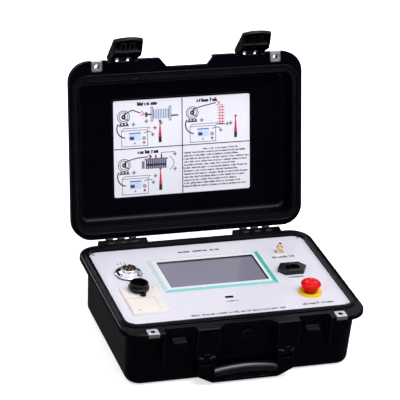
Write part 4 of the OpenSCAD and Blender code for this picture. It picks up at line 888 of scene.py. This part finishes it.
class TESTER_OT_terminals(Operator):
    """USB slot, earth terminal and mains inlet"""

    bl_idname = "tester.terminals"
    bl_label = "Sockets and terminals"

    def execute(self, context):
        paint("brass", "dark")
        x, y, _ = middle(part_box("usb_socket"))
        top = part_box("panel_plate")[1][2] / MM
        low, high = top - 3, top + 0.25
        bm = bmesh.new()
        for k in (-1, 1):
            block(bm, (x + 6.65 * k - 0.33, y - 3.15, low), (x + 6.65 * k + 0.33, y + 3.15, high))
            block(bm, (x - 6.3, y + 2.85 * k - 0.3, low), (x + 6.3, y + 2.85 * k + 0.3, high))
        finished("usb_collar", bm, "base", "dark", slot="dark_plastic")
        return {"FINISHED"}


class TESTER_OT_stop(Operator):
    """Emergency stop"""

    bl_idname = "tester.stop"
    bl_label = "Emergency stop"

    def execute(self, context):
        paint("red", "yellow")
        lo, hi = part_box("stop_head")
        lay = Matrix.Translation(((lo[0] + hi[0]) / 2, (lo[1] + hi[1]) / 2, hi[2] - 0.32 * MM))
        # Pale pink turn arrows on the head: printed marks that also stand in for painted glints
        radius, sweep, barb = 8, 70, 22
        bm = bmesh.new()
        for start in (15, 135, 255):
            path = arc(0, 0, radius, start, start + sweep, 10)
            stroke(bm, path, 1.2, 0.22, lay)
            for reach in (radius - 2, radius + 2):
                tail = arc(0, 0, reach, start + sweep - barb, start + sweep - barb, 1)[0]
                stroke(bm, [path[-1], tail], 1.1, 0.2, lay)
        finished("turn_arrows_and_glints", bm, "stop_head", "pale_red", slot="stop_red")
        return {"FINISHED"}


class TESTER_OT_label(Operator):
    """Instruction label with its generic drawings"""

    bl_idname = "tester.label"
    bl_label = "Instruction label"

    def execute(self, context):
        paint("label")
        sizes = context.scene.tester_sizes
        self.thick = sizes.ink_t / MM
        half_w, half_d = sizes.label_w / MM / 2, sizes.label_d / MM / 2
        # Label coordinates: x to the right and y up as the open label is read
        self.turn = (
            lid_turn() @ Matrix.Translation(Vector(LABEL_CENTRE) * MM) @ Matrix.Rotation(math.pi, 4, "X")
        )
        rng = random.Random(LABEL_SEED)
        pens = {key: bmesh.new() for key in LABEL_INKS}
        ink = pens["ink"]
        self.line(ink, [(0, -half_d + 1), (0, half_d - 1)], 1.2)
        self.line(ink, [(-half_w + 1, 0), (half_w - 1, 0)], 1.2)
        for load, left, low, rod, title in (
            (self.drum, -half_w, 0, 82, 42),
            (self.stack, 0, 0, 96, 26),
            (self.tank, -half_w, -half_d, 82, 42),
        ):
            self.bench(pens, left + 14, low + 4)
            self.rod(pens, left + rod, low + 8)
            load(pens, left, low)
            self.text(ink, rng, left + title, left + title + TITLE_W, low + half_d - 10, TITLE_H, TITLE_BOLD)
        for row in range(TEXT_ROWS):
            if row:
                indent = 3 if row % 3 else 1.5
                start, end, height = indent, half_w - rng.uniform(3, 30), TEXT_H
            else:
                start, end, height = 36, half_w - 22, TEXT_HEAD_H
            self.text(ink, rng, start, end, TEXT_TOP - TEXT_PITCH * row, height, TEXT_BOLD)
        outward = self.turn.to_3x3() @ Vector((0, 0, 1))
        for under, (key, bm) in zip(reversed(range(len(pens))), pens.items()):
            bmesh.ops.translate(bm, verts=bm.verts[:], vec=outward * -INK_LAYER * under * MM)
            finished("label_" + key, bm, "lid", key)
        return {"FINISHED"}

    def text(self, bm, rng, start, end, y, height, bold):
        marks(bm, rng, start, end, y, height, self.thick, self.turn, bold)

    def line(self, bm, points, width):
        stroke(bm, points, width * 1.3, self.thick, self.turn)

    def fill(self, bm, x0, y0, x1, y1):
        block(bm, (x0, y0, 0), (x1, y1, self.thick), self.turn)

    def outline(self, bm, x0, y0, x1, y1, width):
        self.line(bm, [(x0, y0), (x1, y0), (x1, y1), (x0, y1), (x0, y0)], width)

    def earth(self, bm, x, y):
        """Three shrinking bars under a short lead."""
        self.line(bm, [(x, y + 5), (x, y + 2.2)], 0.8)
        for k in range(3):
            half, level = 3.0 - 1.1 * k, y + 2.0 - 1.5 * k
            self.line(bm, [(x - half, level), (x + half, level)], 0.8)

    def bench(self, pens, x, y):
        """Open instrument case with a round source over it and the lead between them."""
        ink, grey = pens["ink"], pens["grey_ink"]
        self.outline(grey, x, y, x + 46, y + 27, 0.8)
        self.line(grey, [(x, y + 27), (x + 4, y + 31), (x + 50, y + 31), (x + 46, y + 27)], 0.8)
        self.fill(pens["pale_ink"], x + 13, y + 9, x + 34, y + 21)
        self.fill(pens["blue_ink"], x + 13, y + 21.2, x + 34, y + 23.2)
        self.fill(pens["violet_ink"], x + 14.5, y + 11, x + 22, y + 16.5)
        self.fill(ink, x + 22, y + 3.5, x + 24.2, y + 6)
        self.line(grey, arc(x + 39.5, y + 13, 2.2, steps=10), 1.4)
        self.line(pens["red_ink"], arc(x + 39.5, y + 5.5, 1.0, steps=8), 1.6)
        self.line(ink, arc(x + 4, y + 51, 10.5, steps=28), 0.9)
        self.line(grey, arc(x + 4, y + 51, 7.5, steps=24), 1.0)
        self.line(ink, arc(x + 4, y + 51, 2.6, steps=12), 2.0)
        self.line(ink, [(x + 4, y + 54), (x + 8, y + 58), (x + 4, y + 48), (x + 12, y + 45)], 1.2)
        self.fill(ink, x - 5, y + 35, x + 13, y + 37)
        for k in range(3):
            self.fill(pens["violet_ink"], x - 3 + 5.6 * k, y + 37.2, x + 0.6 + 5.6 * k, y + 40.4)
        self.line(ink, arc(x + 8, y + 31, 16, 150, 262, 14), 1.5)
        self.line(ink, [(x + 39.5, y + 22), (x + 47, y + 24), (x + 53, y + 22.5)], 0.9)
        self.earth(ink, x + 21, y + 36)
        self.earth(ink, x + 55, y + 17)

    def rod(self, pens, x, y):
        """Earthing rod: black grip, tapered red shaft with a ring, and a ball at the tip."""
        grip, step = 10, 4.2
        self.fill(pens["ink"], x - 2.6, y, x + 2.6, y + grip)
        for k in range(6):
            half, base = 2.3 - 0.3 * k, y + grip + step * k
            self.fill(pens["red_ink"], x - half, base, x + half, base + step)
        self.fill(pens["violet_ink"], x - 3, y + 13, x + 3, y + 14.4)
        self.line(pens["ink"], arc(x, y + 37, 1.3, steps=8), 1.2)
        self.earth(pens["ink"], x - 9, y + 24)

    def arrow(self, bm, x, y, lean):
        """Arrow head that points right, turned by a lean in degrees."""
        for wing in (150, 210):
            a = math.radians(lean + wing)
            self.line(bm, [(x, y), (x + 7 * math.cos(a), y + 7 * math.sin(a))], 1.1)

    def drum(self, pens, left, low):
        """Cable drum seen from the side, with its cable's end."""
        ink, grey, x, y = pens["ink"], pens["grey_ink"], left + 84, low + 57
        self.line(ink, [(left + 24, low + 62), (left + 34, low + 66), (left + 48, low + 60)], 1.3)
        self.arrow(pens["red_ink"], left + 55, low + 58, -14)
        self.fill(pens["pale_ink"], x - 14, y - 8, x + 14, y + 8)
        for k in range(7):
            self.line(grey, [(x - 13 + 4.3 * k, y - 8), (x - 13 + 4.3 * k, y + 8)], 1.0)
        for k in (-1, 1):
            self.outline(ink, x + k * 16 - 1.5, y - 12, x + k * 16 + 1.5, y + 12, 0.8)
        self.line(ink, [(x - 26, y), (x - 17, y)], 1.8)
        self.line(ink, [(x + 18, y - 4), (x + 30, y - 4)], 1.8)
        self.fill(pens["violet_ink"], x - 28, y - 4, x - 24, y + 4)
        self.earth(ink, x - 26, y - 13)
        self.earth(ink, x, y - 17)

    def stack(self, pens, left, low):
        """Column of sheds on a foot."""
        ink, red, x, y = pens["ink"], pens["red_ink"], left + 70, low + 34
        self.line(ink, [(left + 22, low + 62), (left + 38, low + 66), (left + 60, low + 70)], 1.3)
        self.arrow(red, left + 68, low + 70, 8)
        self.outline(red, x - 2.2, y, x + 2.2, y + 32, 0.8)
        for k in range(6):
            self.line(red, [(x - 5.5, y + 3 + 5 * k), (x + 5.5, y + 3 + 5 * k)], 1.0)
        self.line(ink, [(x - 6, y - 1), (x + 6, y - 1)], 1.4)
        self.earth(ink, x + 11, y - 3)

    def tank(self, pens, left, low):
        """Finned tank with three bushings."""
        ink, dark, grey, x, y = pens["ink"], pens["violet_ink"], pens["grey_ink"], left + 56, low + 46
        self.line(ink, [(left + 24, low + 62), (left + 40, low + 66), (left + 60, low + 67)], 1.3)
        self.arrow(pens["red_ink"], left + 67, low + 67, 0)
        for k in range(11):
            self.fill(dark, x + 3.4 * k, y, x + 3.4 * k + 2.7, y + 15)
        self.fill(dark, x, y + 5, x + 36, y + 8.5)
        self.fill(grey, x - 7, y + 1, x - 2, y + 14)
        self.fill(grey, x - 2, y + 15, x + 39, y + 18)
        for k in range(3):
            self.line(ink, [(x + 8 + 10 * k, y + 18), (x + 8 + 10 * k, y + 23)], 1.8)
        self.line(grey, arc(x + 38, y + 8, 12, -70, 70, 14), 0.8)
        self.line(ink, [(x + 28, y + 23), (x + 28, y + 27), (x + 52, y + 27)], 0.7)
        self.earth(ink, x + 52, y + 22)
        self.earth(ink, x + 52, y - 4)


class TESTER_OT_works(Operator):
    """Finishes of the parts inside the base"""

    bl_idname = "tester.works"
    bl_label = "Works"

    def execute(self, context):
        paint("zinc", "board", "winding", "sleeve")
        return {"FINISHED"}


class TESTER_PT_sidebar(Panel):
    """The steps and their settings"""

    bl_label = "Cable tester"
    bl_idname = "TESTER_PT_sidebar"
    bl_space_type = "VIEW_3D"
    bl_region_type = "UI"
    bl_category = "Cable Tester"

    def draw(self, context):
        for step in STEPS:
            self.layout.operator(step.bl_idname)
        for group in (context.scene.tester_finishes, context.scene.tester_sizes, context.scene.tester_stage):
            box = self.layout.box()
            for key in group.__annotations__:
                box.prop(group, key)


STEPS = (
    TESTER_OT_stage,
    TESTER_OT_case,
    TESTER_OT_panel,
    TESTER_OT_screen,
    TESTER_OT_connector,
    TESTER_OT_printer,
    TESTER_OT_terminals,
    TESTER_OT_stop,
    TESTER_OT_label,
    TESTER_OT_works,
)
GROUPS = (TesterFinishes, TesterSizes, TesterStage)


def register():
    for cls in (*GROUPS, *STEPS, TESTER_PT_sidebar):
        bpy.utils.register_class(cls)
    bpy.types.Scene.tester_finishes = PointerProperty(type=TesterFinishes)
    bpy.types.Scene.tester_sizes = PointerProperty(type=TesterSizes)
    bpy.types.Scene.tester_stage = PointerProperty(type=TesterStage)


def unregister():
    del bpy.types.Scene.tester_stage
    del bpy.types.Scene.tester_sizes
    del bpy.types.Scene.tester_finishes
    for cls in (TESTER_PT_sidebar, *reversed(STEPS), *reversed(GROUPS)):
        bpy.utils.unregister_class(cls)


def main():
    register()
    for step in STEPS:
        module, name = step.bl_idname.split(".")
        getattr(getattr(bpy.ops, module), name)()


if __name__ == "__main__":
    main()
